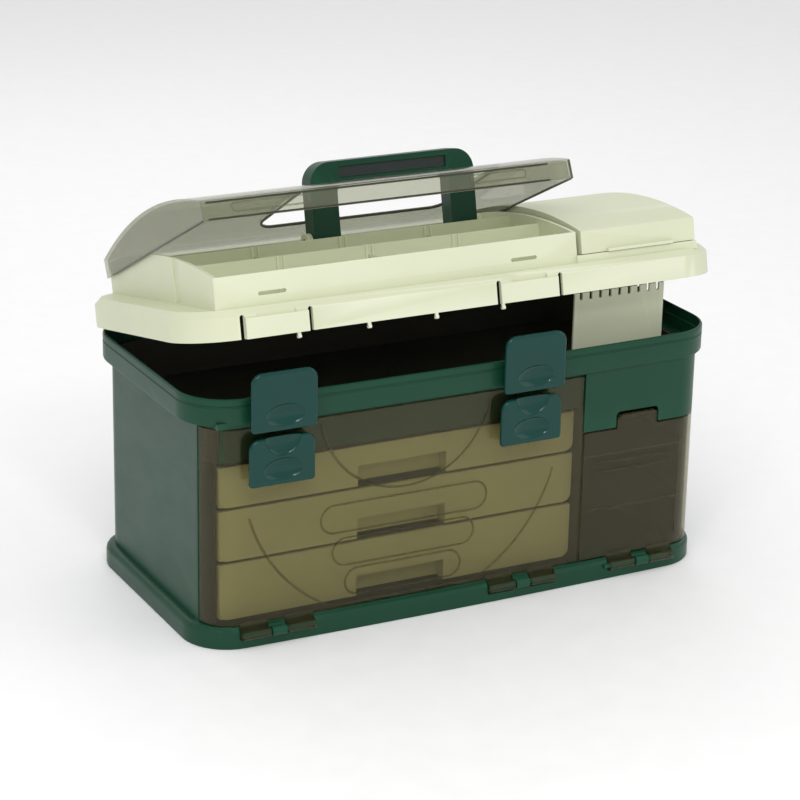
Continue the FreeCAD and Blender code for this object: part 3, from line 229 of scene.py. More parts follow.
def tube(points, radius, closed=False, squash=1.0, facing=(0, -1, 0)):
    """A round bead along a line of points, flattened by squash in the way that it faces."""
    loops = []
    count = len(points)
    points = [Vector(p) for p in points]
    for i, point in enumerate(points):
        ahead = points[(i + 1) % count] if closed or i + 1 < count else point
        behind = points[i - 1] if closed or i else point
        way = (ahead - behind).normalized()
        side = way.cross(Vector(facing)).normalized()
        out = side.cross(way).normalized()
        loops.append([point + side * radius * math.cos(t) + out * radius * squash * math.sin(t)
                      for t in turns(BEAD_STEPS)])
    return solid_from(loops, ring=closed)


def side_tube(points, radius):
    """A round bead along a line of points that runs along Y."""
    return solid_from([[(x + radius * math.cos(t), y, z + radius * math.sin(t))
                        for t in turns(BEAD_STEPS)] for x, y, z in points])


def ball(centre, radii):
    """A flattened ball."""
    bm = bmesh.new()
    bmesh.ops.create_uvsphere(bm, u_segments=48, v_segments=24, radius=1.0)
    bmesh.ops.scale(bm, vec=radii, verts=bm.verts)
    bmesh.ops.translate(bm, vec=centre, verts=bm.verts)
    return object_from(bm, "ball")


def disc(centre, radius, z):
    """A short upright round bar."""
    return slab([(centre[0] + radius * math.cos(t), centre[1] + radius * math.sin(t))
                 for t in turns(20)], z, "Z")


def joined(name, *objs):
    """Put several meshes in one object."""
    bm = bmesh.new()
    for obj in objs:
        bm.from_mesh(obj.data)
        discard(obj)
    return object_from(bm, name)


def discard(obj):
    """Remove an object and its mesh."""
    mesh = obj.data
    bpy.data.objects.remove(obj)
    bpy.data.meshes.remove(mesh)


def settled(obj):
    """Apply every modifier of an object."""
    graph = bpy.context.evaluated_depsgraph_get()
    mesh = bpy.data.meshes.new_from_object(obj.evaluated_get(graph))
    old = obj.data
    obj.modifiers.clear()
    obj.data = mesh
    bpy.data.meshes.remove(old)
    return obj


def combine(base, operation, *tools):
    """Join tools to a base or cut them from it."""
    for tool in tools:
        step = base.modifiers.new("step", "BOOLEAN")
        step.operation = operation
        step.solver = "EXACT"
        step.object = tool
        settled(base)
        discard(tool)
    return base


def add(base, *tools):
    """Join solids to a base."""
    return combine(base, "UNION", *tools)


def cut(base, *tools):
    """Cut solids from a base."""
    return combine(base, "DIFFERENCE", *tools)


def softened(obj, width, segments=2, angle=35):
    """Round off the sharp edges of a mesh."""
    step = obj.modifiers.new("edges", "BEVEL")
    step.width = width
    step.segments = segments
    step.limit_method = "ANGLE"
    step.angle_limit = math.radians(angle)
    step.miter_outer = "MITER_ARC"
    step.use_clamp_overlap = True
    return settled(obj)


def cad_copy(name, *nodes):
    """A copy of some CAD nodes in millimetres with its flat faces whole again."""
    bm = bmesh.new()
    for node in nodes:
        bm.from_mesh(frame["nodes"][node].data)
    bmesh.ops.remove_doubles(bm, verts=bm.verts, dist=WELD_GAP)
    bmesh.ops.scale(bm, vec=(1 / MM,) * 3, verts=bm.verts)
    bmesh.ops.dissolve_limit(bm, angle_limit=math.radians(FLAT_ANGLE), verts=bm.verts,
                             edges=bm.edges)
    bmesh.ops.dissolve_degenerate(bm, dist=0.002, edges=bm.edges)
    return object_from(bm, name)


def piece(obj, name, body, slot, replaces=(), place=None, finish=None):
    """Finish a mesh in millimetres as a piece of the tackle box that rides on a body."""
    obj.name = name
    obj.data.transform(Matrix.Scale(MM, 4) @ (place or Matrix.Identity(4)))
    bm = bmesh.new()
    bm.from_mesh(obj.data)
    bmesh.ops.remove_doubles(bm, verts=bm.verts, dist=MERGE_GAP)
    loose = [v for v in bm.verts if not v.link_faces]
    bmesh.ops.delete(bm, geom=loose, context="VERTS")
    bm.to_mesh(obj.data)
    bm.free()
    obj.data.shade_smooth()
    obj.data.set_sharp_from_angle(angle=math.radians(SMOOTH_ANGLE))
    if not obj.data.polygons:
        raise RuntimeError(name + " has no faces")
    even = obj.modifiers.new("even", "WEIGHTED_NORMAL")
    even.keep_sharp = True
    even.weight = 90
    settled(obj)
    obj.data.name = name
    obj.data.materials.clear()
    obj.data.materials.append(finish_of(finish or slot))
    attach(obj, body)
    if replaces:
        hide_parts(*replaces)
    return obj


# ------------------------------------------------------------ plans of the case

def plan(end, front, rear, corner, bow, inset):
    """Plan with a bowed front edge and round corners, from the left end of the bow round."""
    end, front, rear, corner = (value - inset for value in (end, front, rear, corner))
    sweep = (end * end + bow * bow) / (2 * bow)
    centre = sweep - front
    corner_y = centre - math.sqrt((sweep - corner) ** 2 - (end - corner) ** 2)
    lean = math.atan2(end - corner, centre - corner_y)
    points = []

    def arc(x, y, radius, start, stop, steps):
        """Add the points of an arc, without its last one."""
        for i in range(steps):
            angle = start + (stop - start) * i / steps
            points.append((x + radius * math.cos(angle), y + radius * math.sin(angle)))

    down = -math.pi / 2
    arc(0, centre, sweep, down - lean, down + lean, FRONT_STEPS)
    arc(end - corner, corner_y, corner, down + lean, 0, CORNER_STEPS)
    points.append((end, corner_y))
    arc(end - corner, rear - corner, corner, 0, math.pi / 2, CORNER_STEPS)
    points.append((end - corner, rear))
    arc(corner - end, rear - corner, corner, math.pi / 2, math.pi, CORNER_STEPS)
    points.append((-end, rear - corner))
    arc(corner - end, corner_y, corner, math.pi, 1.5 * math.pi - lean, CORNER_STEPS)
    return points


def walls_plan(inset=0.0):
    """Plan of the walls, and of the panes' outer face."""
    return plan(CASE_RIGHT, COVER_FACE, WALLS[1].y, corner=26, bow=WALL_BOW, inset=inset)


def rim_plan(inset=0.0):
    """Plan of the rim, which stands proud of the walls."""
    proud = 3
    return plan(RIM[1].x, COVER_FACE + proud, WALLS[1].y + proud, corner=40, bow=3, inset=inset)


def plinth_plan(inset=0.0):
    """Plan of the plinth."""
    end, depth = PLINTH[1].x, PLINTH[1].y
    return plan(end, depth, depth, corner=38, bow=4, inset=inset)


def levels(shape, profile):
    """Loops of a plan at each (inset, height)."""
    return [[(x, y, z) for x, y in shape(inset)] for inset, z in profile]


# ------------------------------------------------------------ materials

def srgb(red, green, blue):
    """A colour given in screen values from 0 to 255."""
    def linear(value):
        """A screen value as the amount of light that it stands for."""
        value /= 255
        return value / 12.92 if value <= 0.04045 else ((value + 0.055) / 1.055) ** 2.4
    return linear(red), linear(green), linear(blue), 1.0


class Nodes:
    """A material's node tree, built one node at a time."""

    def __init__(self, name):
        self.material = bpy.data.materials.new(name)
        self.material.use_nodes = True
        self.tree = self.material.node_tree
        self.tree.nodes.clear()
        self.output = self.add("ShaderNodeOutputMaterial")
        self.coordinates = self.add("ShaderNodeTexCoord").outputs["Object"]

    def add(self, kind, **inputs):
        """A new node with its inputs given by name, with _ for a space."""
        node = self.tree.nodes.new(kind)
        for name, value in inputs.items():
            self.give(node, name.replace("_", " "), value)
        return node

    def give(self, node, name, value):
        """Link an input to a socket, or set it to a value."""
        socket = node.inputs[name]
        if isinstance(value, bpy.types.NodeSocket):
            self.tree.links.new(value, socket)
        else:
            socket.default_value = value

    def noise(self, scale, detail=3.0, roughness=0.5, stretch=None):
        """Noise in the object's own space, drawn out where its stretch is small."""
        where = self.coordinates
        if stretch:
            mapping = self.add("ShaderNodeMapping", Vector=where, Scale=stretch)
            where = mapping.outputs[0]
        return self.add("ShaderNodeTexNoise", Vector=where, Scale=scale, Detail=detail,
                        Roughness=roughness).outputs["Fac"]

    def ramp(self, factor, *stops):
        """A colour ramp through two or more (place, colour) stops."""
        node = self.add("ShaderNodeValToRGB", Fac=factor)
        ramp = node.color_ramp
        while len(ramp.elements) < len(stops):
            ramp.elements.new(0.5)
        for element, (place, colour) in zip(ramp.elements, stops):
            element.position = place
            element.color = colour
        return node.outputs["Color"]

    def span(self, factor, low, high, start=0.3, stop=0.7):
        """A factor between start and stop, spread from low to high."""
        node = self.add("ShaderNodeMapRange", Value=factor)
        for name, value in (("From Min", start), ("From Max", stop), ("To Min", low),
                            ("To Max", high)):
            node.inputs[name].default_value = value
        return node.outputs[0]

    def bump(self, height, strength, distance, under=None):
        """Bump from a height, on top of another bump if one is given."""
        node = self.add("ShaderNodeBump", Height=height, Strength=strength, Distance=distance)
        if under is not None:
            self.give(node, "Normal", under)
        return node.outputs[0]

    def plastic(self, **inputs):
        """The surface shader's output, with its inputs given by name."""
        return self.add("ShaderNodeBsdfPrincipled", **inputs).outputs[0]

    def finish(self, shader):
        """Send a shader to the output and give back the material."""
        self.tree.links.new(shader, self.output.inputs["Surface"])
        return self.material


def shade(colour, factor):
    """A colour made lighter or darker."""
    return tuple(min(1.0, channel * factor) for channel in colour[:3]) + (1.0,)


def moulded(name, colour, gloss, grain, depth, variation, painted_edge_highlight, mirror=0.5):
    """Moulded plastic: fine grain, faint flow marks, uneven gloss and a painted highlight that
    makes the edges paler.
    """
    n = Nodes(name)
    clouds = n.noise(9.0, 4.0, 0.55)
    flow = n.noise(26.0, 3.0, 0.6, (0.35, 1.0, 2.2))
    tone = n.ramp(clouds, (0.3, shade(colour, 1 - variation)), (0.7, shade(colour, 1 + variation)))
    # Painted highlight: sharp convex edges are mixed toward a paler copy of the colour, standing
    # in for light along the edges.
    edges = n.add("ShaderNodeNewGeometry").outputs["Pointiness"]
    edge_highlight_mask = n.span(edges, 0.0, painted_edge_highlight, 0.53, 0.6)
    mixed = n.add("ShaderNodeMix")
    mixed.data_type = "RGBA"
    n.give(mixed, "Factor", edge_highlight_mask)
    n.tree.links.new(tone, mixed.inputs[6])
    mixed.inputs[7].default_value = shade(colour, 1.9)
    fine = n.noise(1000.0 / grain, 2.0, 0.6)
    specks = n.noise(4200.0 / grain, 2.0, 0.5)
    normal = n.bump(flow, 0.035, 0.0006)
    normal = n.bump(fine, depth, 0.0003, normal)
    normal = n.bump(specks, depth * 0.5, 0.0001, normal)
    rough = n.span(flow, gloss - 0.02, gloss + 0.03, 0.35, 0.65)
    return n.finish(n.plastic(Base_Color=mixed.outputs[2], Roughness=rough, Normal=normal,
                              Specular_IOR_Level=mirror))


def smoked(name, tint, body, cover, bend):
    """Tinted clear plastic with soft waves, hairline scratches and a little dust."""
    n = Nodes(name)
    waves = n.noise(30.0, 2.0, 0.5)
    scratches = n.noise(420.0, 2.0, 0.6, (0.05, 1.0, 1.0))
    dust = n.noise(60.0, 2.0, 0.5)
    surface = n.plastic(
        Base_Color=n.ramp(dust, (0.35, body), (0.75, shade(body, 1.2))),
        Roughness=n.span(scratches, 0.06, 0.22, 0.45, 0.75),
        Normal=n.bump(scratches, 0.02, 0.0001, n.bump(waves, 0.05, 0.0008)),
        IOR=bend, Coat_Weight=0.5, Coat_Roughness=0.04, Specular_Tint=(1.0, 0.94, 0.76, 1.0))
    clear = n.add("ShaderNodeBsdfTransparent", Color=tint).outputs[0]
    facing = n.add("ShaderNodeLayerWeight", Blend=0.28).outputs["Facing"]
    amount = n.span(facing, cover, min(1.0, cover + 0.55), 0.0, 1.0)
    mix = n.add("ShaderNodeMixShader", Fac=amount)
    n.tree.links.new(clear, mix.inputs[1])
    n.tree.links.new(surface, mix.inputs[2])
    return n.finish(mix.outputs[0])


def steel_wire(name):
    """Plated steel pin with drawn lines along it."""
    n = Nodes(name)
    drawn = n.noise(600.0, 3.0, 0.6, (0.03, 1.0, 1.0))
    tone = n.ramp(drawn, (0.35, (0.32, 0.33, 0.33, 1)), (0.7, (0.5, 0.5, 0.49, 1)))
    return n.finish(n.plastic(Base_Color=tone, Roughness=n.span(drawn, 0.25, 0.42),
                              Normal=n.bump(drawn, 0.15, 0.0002), Metallic=1.0))


def plastics(look):
    """The settings of every moulded plastic, by the finish's name."""
    # The amount given after variation is how strongly the edges are painted paler as a highlight.
    return {
        "case_green": dict(colour=(*look.case_colour, 1), gloss=0.34, grain=0.7, depth=0.07,
                           variation=0.05, painted_edge_highlight=0.3, mirror=0.24),
        "latch_green": dict(colour=(*look.latch_colour, 1), gloss=0.13, grain=2.5, depth=0.012,
                            variation=0.06, painted_edge_highlight=0.3, mirror=0.3),
        "cream": dict(colour=(*look.lid_colour, 1), gloss=0.38, grain=0.8, depth=0.07,
                      variation=0.04, painted_edge_highlight=0.2),
        "drawer_cream": dict(colour=(*look.drawer_colour, 1), gloss=0.42, grain=0.8, depth=0.07,
                             variation=0.05, painted_edge_highlight=0.15),
        "inner_dark": dict(colour=srgb(46, 44, 34), gloss=0.5, grain=0.9, depth=0.1,
                           variation=0.15, painted_edge_highlight=0.2),
        "grip": dict(colour=srgb(22, 34, 30), gloss=0.6, grain=0.5, depth=0.3,
                     variation=0.1, painted_edge_highlight=0.1),
    }


def smokes(look):
    """The settings of every tinted plastic, by the finish's name."""
    return {
        "smoke": dict(tint=(*look.smoke_tint, 1), body=srgb(66, 62, 42), cover=0.12, bend=2.1),
        "smoke_light": dict(tint=(*look.cover_tint, 1), body=srgb(132, 134, 116), cover=0.2,
                            bend=1.7),
        "smoke_edge": dict(tint=(0.3, 0.3, 0.26, 1), body=srgb(56, 56, 46), cover=0.62,
                           bend=1.5),
    }


FINISHES_MADE = {}


def finish_of(name):
    """The material of one finish, made the first time that it is asked for."""
    look = bpy.context.scene.tackle_box
    if name not in FINISHES_MADE:
        if name == "steel":
            FINISHES_MADE[name] = steel_wire(name)
        elif name in smokes(look):
            FINISHES_MADE[name] = smoked(name, **smokes(look)[name])
        else:
            FINISHES_MADE[name] = moulded(name, **plastics(look)[name])
    return FINISHES_MADE[name]


def dress_node(node, finish):
    """Give a CAD node that stays its material."""
    obj = frame["nodes"][node]
    obj.data.materials.clear()
    obj.data.materials.append(finish_of(finish))


# ------------------------------------------------------------ case

def hinge_stretches(middle):
    """Stretches along X of a pane's two hinge loops."""
    near = HINGE_KNUCKLE / 2 + HINGE_GAP
    far = near + HINGE_LOOP
    return (middle - far, middle - near), (middle + near, middle + far)


def latch_ears(middle):
    """Stretches along X of the two ears that hold a latch."""
    half = 2
    return [(middle + side * EAR_OUT - half, middle + side * EAR_OUT + half) for side in (-1, 1)]


# Profiles of the case as (inset from its plan, height).
PLINTH_PROFILE = ((3.2, 0), (1.2, 0), (0.3, 0.5), (0, 1.6), (0, 12.6), (0.35, 14.2), (1.2, 15.6),
                  (2.6, 16.6), (4.2, 17.2), (6.4, PLINTH_TOP))
RIM_PROFILE = ((4, WALL_TOP), (1.5, WALL_TOP), (0.5, 180.6), (0, 181.8), (0, 194.6), (0.7, 195.3),
               (0.7, 196.3), (0, 197.0), (0, 200.2), (0.5, 201.4), (1.4, RIM_TOP))
RIM_INSIDE = ((4, 184), (4, 192.5), (3.6, 193.4), (2.6, 194), (2.4, 200.6), (1.9, 203))
WALLS_PROFILE = ((0, 9), (0, 181))
WALLS_INSIDE = ((WALL_THICK, 3), (WALL_THICK, 184.5))
HEADER_FACE = -104.0
HEADER_BACK = -101.0
LID_HINGE_PLACES = (-150, 0, 150)
LID_EAR_OUT = 14.75
LID_EAR_HALF = 6


def case_shell():
    """Plinth, walls and rim as one shell, with room for the panes and the door's tab."""
    case = add(solid_from(levels(plinth_plan, PLINTH_PROFILE)),
               solid_from(levels(walls_plan, WALLS_PROFILE)),
               solid_from(levels(rim_plan, RIM_PROFILE)))
    inside = solid_from(levels(walls_plan, WALLS_INSIDE))
    rim_inside = solid_from(levels(rim_plan, RIM_INSIDE))
    cover_room = block((CASE_LEFT - 2, BAY_RIGHT), PANE_ROOM, (PLINTH_TOP, WALL_TOP - 1))
    door_room = block((BAY_RIGHT, CASE_RIGHT + 2), PANE_ROOM, (PLINTH_TOP, DOOR_TOP + 1.5))
    tab_room = slab(rounded_box((134.5, 174.5), (128, 143), (0, 0, 4, 4)), (-113, -105))
    cut(case, inside, rim_inside, cover_room, door_room, tab_room)
    header = block((-208.1, 107.5), (HEADER_FACE, HEADER_BACK), (150, 184))
    soffit = block((-212, 107.5), (-108.9, HEADER_BACK), (WALL_TOP - 1, 184))
    return add(case, header, soffit)


def build_case():
    """Shell with its hinge knuckles, latch ears, catches and lid hinge ears."""
    case = case_shell()
    for middle in (*LATCH_PLACES.values(), DOOR_HINGE_X):
        for left, right in hinge_stretches(middle):
            loop_room = rounded_box((left - 0.75, right + 0.75), (7, 19), (2, 2, 0, 0))
            cut(case, slab(loop_room, (-125, -108.7)))
        knuckle = (middle - HINGE_KNUCKLE / 2, middle + HINGE_KNUCKLE / 2)
        add(case, bar(knuckle, FRONT_AXIS.y, FRONT_AXIS.z, HINGE_RADIUS))
    y, z = LATCH_PIVOTS["upper"]
    for middle in LATCH_PLACES.values():
        for ear in latch_ears(middle):
            root = block(ear, (y, -111.5), (z - BARREL_RADIUS, z + BARREL_RADIUS))
            add(case, bar(ear, y, z, BARREL_RADIUS), root)
        add(case, block((middle - 12, middle + 12), (-106.8, HEADER_FACE + 1), (158.1, 160.5)))
    for middle in LID_HINGE_PLACES:
        for side in (-1, 1):
            start = middle + side * LID_EAR_OUT
            ear = (start - LID_EAR_HALF, start + LID_EAR_HALF)
            add(case, bar(ear, LID_AXIS.y, LID_AXIS.z, 3.6),
                block(ear, (RIM[1].y - 2, LID_AXIS.y), (191.2, RIM_TOP)))
    softened(case, in_size("case_edge"), 2, 40)
    piece(case, "case_moulding", "case", "case_green", CASE_NODES)


def build_insides():
    """The tub, partition, runners, shelves and pins keep their CAD shapes."""
    for node in ("storage_tub", "bin_partition", "left_runner", "right_runner", "bin_shelves"):
        dress_node(node, "inner_dark")
    for node in ("upper_latch_pins", "lid_hinge_pins", "lower_latch_pins", "top_hinge_pins"):
        dress_node(node, "steel")
    for node in ("handle_pins", "front_hinge_pins"):
        dress_node(node, "case_green")


def build_rack():
    """Slotted lure rack."""
    rack = softened(cad_copy("rack", "lure_rack"), 0.5)
    piece(rack, "lure_rack_panel", "case", "cream", ("lure_rack",))


# ------------------------------------------------------------ drawers

def build_drawers():
    """Three drawers with lipped fronts, hooded pulls and dividers."""
    for level in ("bottom", "middle", "top"):
        node = "drawer_" + level
        drawer = softened(cad_copy(node + "_mesh", node), in_size("drawer_edge"))
        piece(drawer, node + "_tray", node, "drawer_cream", (node,))
        dress_node(node + "_dividers", "drawer_cream")


# ------------------------------------------------------------ panes on the front

def pane_path(x, wrap_left=False, wrap_right=False, inset=0.0):
    """Points of the walls' plan along the front between two places, round a corner if asked."""
    points = walls_plan(inset)
    line = points[-CORNER_STEPS:] + points[:FRONT_STEPS + CORNER_STEPS + 1]

    def at_x(value):
        """The point of the line at a place along X."""
        for (x0, y0), (x1, y1) in zip(line, line[1:]):
            if x0 <= value <= x1 and x1 > x0:
                return value, y0 + (y1 - y0) * (value - x0) / (x1 - x0)
        return value, line[-1][1]

    path = [p for p in line if x[0] - TINY <= p[0] <= x[1] + TINY and p[1] <= PANE_BACK + TINY]
    if not wrap_left:
        path.insert(0, at_x(x[0]))
    elif path[0][1] < PANE_BACK - 0.5:
        path.insert(0, (path[0][0], PANE_BACK))
    if not wrap_right:
        path.append(at_x(x[1]))
    elif path[-1][1] < PANE_BACK - 0.5:
        path.append((path[-1][0], PANE_BACK))
    return path


def pane_sheet(x, z, **wrap):
    """A curved sheet with softly rounded edges that follows the case's front."""
    outer = pane_path(x, inset=0.0, **wrap)
    inner = pane_path(x, inset=PANE_THICK, **wrap)
    loop = outer + list(reversed(inner))
    return solid_from([[(px, py, height) for px, py in loop] for height in z])


def hinge_loops(middle):
    """Loops and arms that hang a pane on its pin."""
    parts = []
    for left, right in hinge_stretches(middle):
        loop = bar((left, right), FRONT_AXIS.y, FRONT_AXIS.z, HINGE_RADIUS)
        arm = block((left, right), (-COVER_FACE, -109.1), (12, 21.5))
        web = block((left, right), (-114, -109.1), (12, 16))
        parts.append(add(loop, arm, web))
    return parts


def front_y(x):
    """Depth of the case's front at a place along X."""
    sweep = (CASE_RIGHT * CASE_RIGHT + WALL_BOW * WALL_BOW) / (2 * WALL_BOW)
    return sweep - COVER_FACE - math.sqrt(sweep * sweep - x * x)


def bead(points, scale=1.0, closed=False):
    """A raised bead on the front cover along points (x, z)."""
    radius = in_size("ring_bead") * scale
    return tube([(x, front_y(x) + 0.15, z) for x, z in points], radius, closed, squash=0.7)


def arc_points(x, z, radius, start, stop, steps):
    """Points (x, z) along an arc, with both its ends."""
    return [(x + radius * math.cos(math.radians(a)), z + radius * math.sin(math.radians(a)))
            for a in (start + (stop - start) * i / steps for i in range(steps + 1))]


RING_MIDDLE = -55
RING_LEFT = -196         # the large ring ends before the corner
PULL_RINGS = ((-127, 17, 93, 11.5), (-117, 6, 65, 11.2), (-106, -5, 39, 11))
GRIP_LINES = ((101, 116), (93, 118), (60, 120))


def build_front_cover():
    """Smoke cover over the drawers with its moulded rings and latch ears."""
    low, high = PLINTH_TOP + PANE_GAP, COVER[1].z
    sheet = pane_sheet((CASE_LEFT - 1, COVER[1].x), (low, high), wrap_left=True)
    for middle in LATCH_PLACES.values():
        cut(sheet, block((middle - 14, middle + 14), (-113, -106), (158.3, 169.3)))
    softened(sheet, 0.7, 2, 50)
    large = arc_points(RING_MIDDLE, 143, 137, 196, 344, 96)
    small = arc_points(RING_MIDDLE, 184, 73, 184, 356, 60)
    beads = [bead([(x, z) for x, z in large if z > low + 2 and x > RING_LEFT]),
             bead([(x, z) for x, z in small if z < high - 3])]
    for left, right, middle, half in PULL_RINGS:
        ring = capsule((left, right), (middle - half, middle + half), 12)
        beads.append(bead(ring, 0.9, True))
    y, z = LATCH_PIVOTS["lower"]
    parts = []
    for middle in LATCH_PLACES.values():
        parts += hinge_loops(middle)
        for ear in latch_ears(middle):
            root = block(ear, (y, -109.5), (z - BARREL_RADIUS, z + BARREL_RADIUS))
            parts.append(add(bar(ear, y, z, BARREL_RADIUS), root))
    cover = joined("cover", sheet, *beads, *parts)
    piece(cover, "front_cover_pane", "front_cover", "smoke", ("front_cover",))


def build_side_door():
    """Smoke door of the side bin with its finger tab and grip lines."""
    low, high = PLINTH_TOP + PANE_GAP, DOOR_TOP
    sheet = pane_sheet((DOOR[0].x, CASE_RIGHT + 1), (low, high), wrap_right=True)
    tab = slab(rounded_box((136, 173), (126, 140.5), (0, 0, 5, 5)), (-110.4, -108))
    grip = slab(rounded_box((137, 172), (137, 140.5), (1, 1, 3, 3)), (-112.4, -109))
    add(sheet, tab)
    softened(sheet, 0.6, 2, 50)
    beads = [softened(grip, 0.6, 2, 50)]
    for z, left in GRIP_LINES:
        beads.append(bead([(left, z), (left + 3, z + 0.6), (190, z + 0.6)], 0.8))
    beads.append(bead([(196, 112), (196, 30)], 0.8))
    door = joined("door", sheet, *beads, *hinge_loops(DOOR_HINGE_X))
    piece(door, "side_door_pane", "side_door", "smoke", ("side_door",))


# ------------------------------------------------------------ latches

def latch_flap(middle, face, back, low, high, scoop_top):
    """A pillow-edged flap with a thumb scoop near its foot, and one at its top if asked."""
    scoop = in_size("scoop_depth")
    outline = rounded_box((middle - LATCH_HALF, middle + LATCH_HALF), (low, high), (3, 3, 9, 9), 8)
    flap = softened(slab(outline, (face, back)), 2.1, 5, 50)
    cut(flap, ball((middle, face - 1.4, low + 12.5), (17, scoop + 1.4, 9.5)))
    if scoop_top:
        cut(flap, ball((middle, face - 0.4, high + 2.0), (15.5, scoop + 0.8, 17)))
    return flap


def build_latch(kind, side, middle):
    """One latch: its flap, the barrel on its pin, the web between them and its hook."""
    y, z = LATCH_PIVOTS[kind]
    node = "%s_latch_%s" % (kind, side)
    low, high = node_box(node)
    back = y - 2.8
    flap = latch_flap(middle, low.y, back, z - 3.5, LATCH_TOPS[kind], kind == "lower")
    width = (middle - BARREL_HALF, middle + BARREL_HALF)
    barrel = bar(width, y, z, BARREL_RADIUS)
    web = block(width, (back - 1, y), (z - BARREL_RADIUS, z + BARREL_RADIUS))
    if kind == "upper":
        hook = block(width, (back - 1, high.y - SNAP_ROOM), (216, 219))
    else:
        hook = block((middle - 12, middle + 12), (back - 1, high.y), (161.3, 164.3))
    add(flap, barrel, web, hook)
    piece(flap, node + "_flap", node, "latch_green", (node,))


def build_latches():
    """Two latches on the rim and two on the front cover."""
    for side, middle in LATCH_PLACES.items():
        for kind in ("upper", "lower"):
            build_latch(kind, side, middle)


# ------------------------------------------------------------ lid and what it carries

LID_FACE = -117.0
TRAY_FACE = -106.0
ROW_FACES = ((-53.8, 251.0), (-6.8, 255.5))             # Y and top of the step behind each row
DIVIDER_PLACES = (-129.6, -54.0, 21.6)
HOOK_PLACES = (-147.0, -89.0, -32.0, 26.0)
DECK_HOLE_PLACES = (-191.0, -152.5, -144.0, -124.0, -60.0, 30.0)


def divider_ribs():
    """Pairs of ribs on the tray's steps that hold the dividers."""
    ribs = []
    for place in DIVIDER_PLACES:
        for face, top in ROW_FACES:
            for offset in (-2.6, 2.6):
                rib = block((place + offset - 0.8, place + offset + 0.8), (face - 1.4, face + 0.4),
                            (223, top - 0.4))
                ribs.append(softened(rib, 0.3))
    return ribs


def edge_hooks():
    """Small hooks that hang under the lid's front edge."""
    hooks = []
    for place in HOOK_PLACES:
        width = (place - 1.4, place + 1.4)
        shank = block(width, (LID_FACE + 0.5, LID_FACE + 2.6), (196.0, 201))
        hooks += [softened(shank, 0.5), bar(width, LID_FACE + 1.5, 196.4, 1.5, 16)]
    return hooks


def build_lid():
    """Cream lid with its open tray, latch pads, slots, divider ribs and hooks under its edge."""
    lid = cad_copy("lid_mesh", "lid_tray")
    lid.data.transform(LID_OPEN.inverted())
    softened(lid, in_size("lid_edge"), 2, 40)
    for middle in LATCH_PLACES.values():
        for side in (-1, 1):
            place = middle + side * 27.4
            groove = rounded_box((place - 1.9, place + 1.9), (197, 217.5), (0, 0, 1.9, 1.9))
            cut(lid, slab(groove, (LID_FACE - 2, LID_FACE + 5.8)))
        slot = capsule((middle - 9, middle + 14), (229.0, 232.0))
        cut(lid, slab(slot, (TRAY_FACE - 2, TRAY_FACE + 4)))
    scoop = ball((152, LID_FACE - 2.5, 225), (30, 7, 9))
    end_recess = slab(rounded_box((-42, -30), (224, 262), (1, 1, 1, 1)), (-209, -206.9), "X")
    cut(lid, scoop, end_recess)
    for place in DECK_HOLE_PLACES:
        cut(lid, disc((place, 19.5), 1.3, (241.8, 244)))
    lid = joined("lid", lid, *divider_ribs(), *edge_hooks())
    piece(lid, "lid_moulding", "lid", "cream", ("lid_tray",), LID_OPEN)
    dress_node("tray_dividers", "cream")


def build_side_lid():
    """Domed lid over the lure rack."""
    lid = softened(cad_copy("side_lid_mesh", "side_lid"), 1.6, 3, 30)
    piece(lid, "side_lid_dome", "side_lid", "cream", ("side_lid",))


CLEAR_END = (-210.5, 102.5)
CLEAR_FACE = -110.5
CLEAR_BACK = 106.5
CLEAR_FOOT = 233.0
CLEAR_BROW = 248.5
CLEAR_DOME = 16.5
CHANNELS = ((-186, -124), (14, 62))


def dome_height(y):
    """Height of the clear cover's outside above a place along Y."""
    middle, half = (CLEAR_FACE + CLEAR_BACK) / 2, (CLEAR_BACK - CLEAR_FACE) / 2
    return CLEAR_BROW + CLEAR_DOME * (1 - ((y - middle) / half) ** 2)


def build_clear_shell():
    """The clear cover's shell with the channels on its brow."""
    cover = cad_copy("clear_mesh", "clear_cover")
    cover.data.transform(COVER_OPEN.inverted())
    softened(cover, 0.8, 2, 30)
    channels = []
    for stretch in CHANNELS:
        line = [(x, CLEAR_FACE + 0.2, z) for x, z in capsule(stretch, (238.0, 244.5))]
        channels.append(tube(line, 0.7, True, squash=0.8))
    cover = joined("cover", cover, *channels)
    piece(cover, "clear_cover_shell", "clear_cover", "smoke_light", ("clear_cover",), COVER_OPEN)


def build_clear_edges():
    """The clear cover's dark rolled edges and the rim round its window."""
    rounds = []
    for end, inward in zip(CLEAR_END, (0.5, -0.5)):
        line = [(end + inward, y, CLEAR_FOOT + 0.5)
                for y in range(int(CLEAR_FACE) + 2, int(CLEAR_BACK) - 12, 8)]
        rounds.append(side_tube(line, in_size("cover_edge")))
    for z in (CLEAR_FOOT + 0.8, CLEAR_BROW - 2):
        rounds.append(tube([(x, CLEAR_FACE + 0.4, z) for x in range(-206, 100, 18)], 0.8))
    brow = CLEAR_END[1] - 0.4
    rounds.append(block((brow - 0.9, brow + 0.4), (CLEAR_FACE, CLEAR_FACE + 1.6),
                        (CLEAR_FOOT + 0.4, CLEAR_BROW - 0.6)))
    window = rounded_box((-86.5, 86.5), (-36.5, 79.5), (14, 14, 14, 14))
    rounds.append(tube([(x, y, dome_height(y) - 1.2) for x, y in window], 1.2, True,
                       facing=(0, 0, 1)))
    edges = joined("edges", *rounds)
    piece(edges, "clear_cover_edges", "clear_cover", "smoke_light", (), COVER_OPEN, "smoke_edge")


def build_clear_cover():
    """Clear smoke cover over the tray."""
    build_clear_shell()
    build_clear_edges()


def build_handle():
    """Carrying handle with its grip pad."""
    handle = softened(cad_copy("handle_mesh", "handle"), in_size("handle_edge"), 4, 30)
    piece(handle, "carrying_handle", "handle", "case_green", ("handle",))
    dress_node("grip_pad", "grip")


# ------------------------------------------------------------ stage

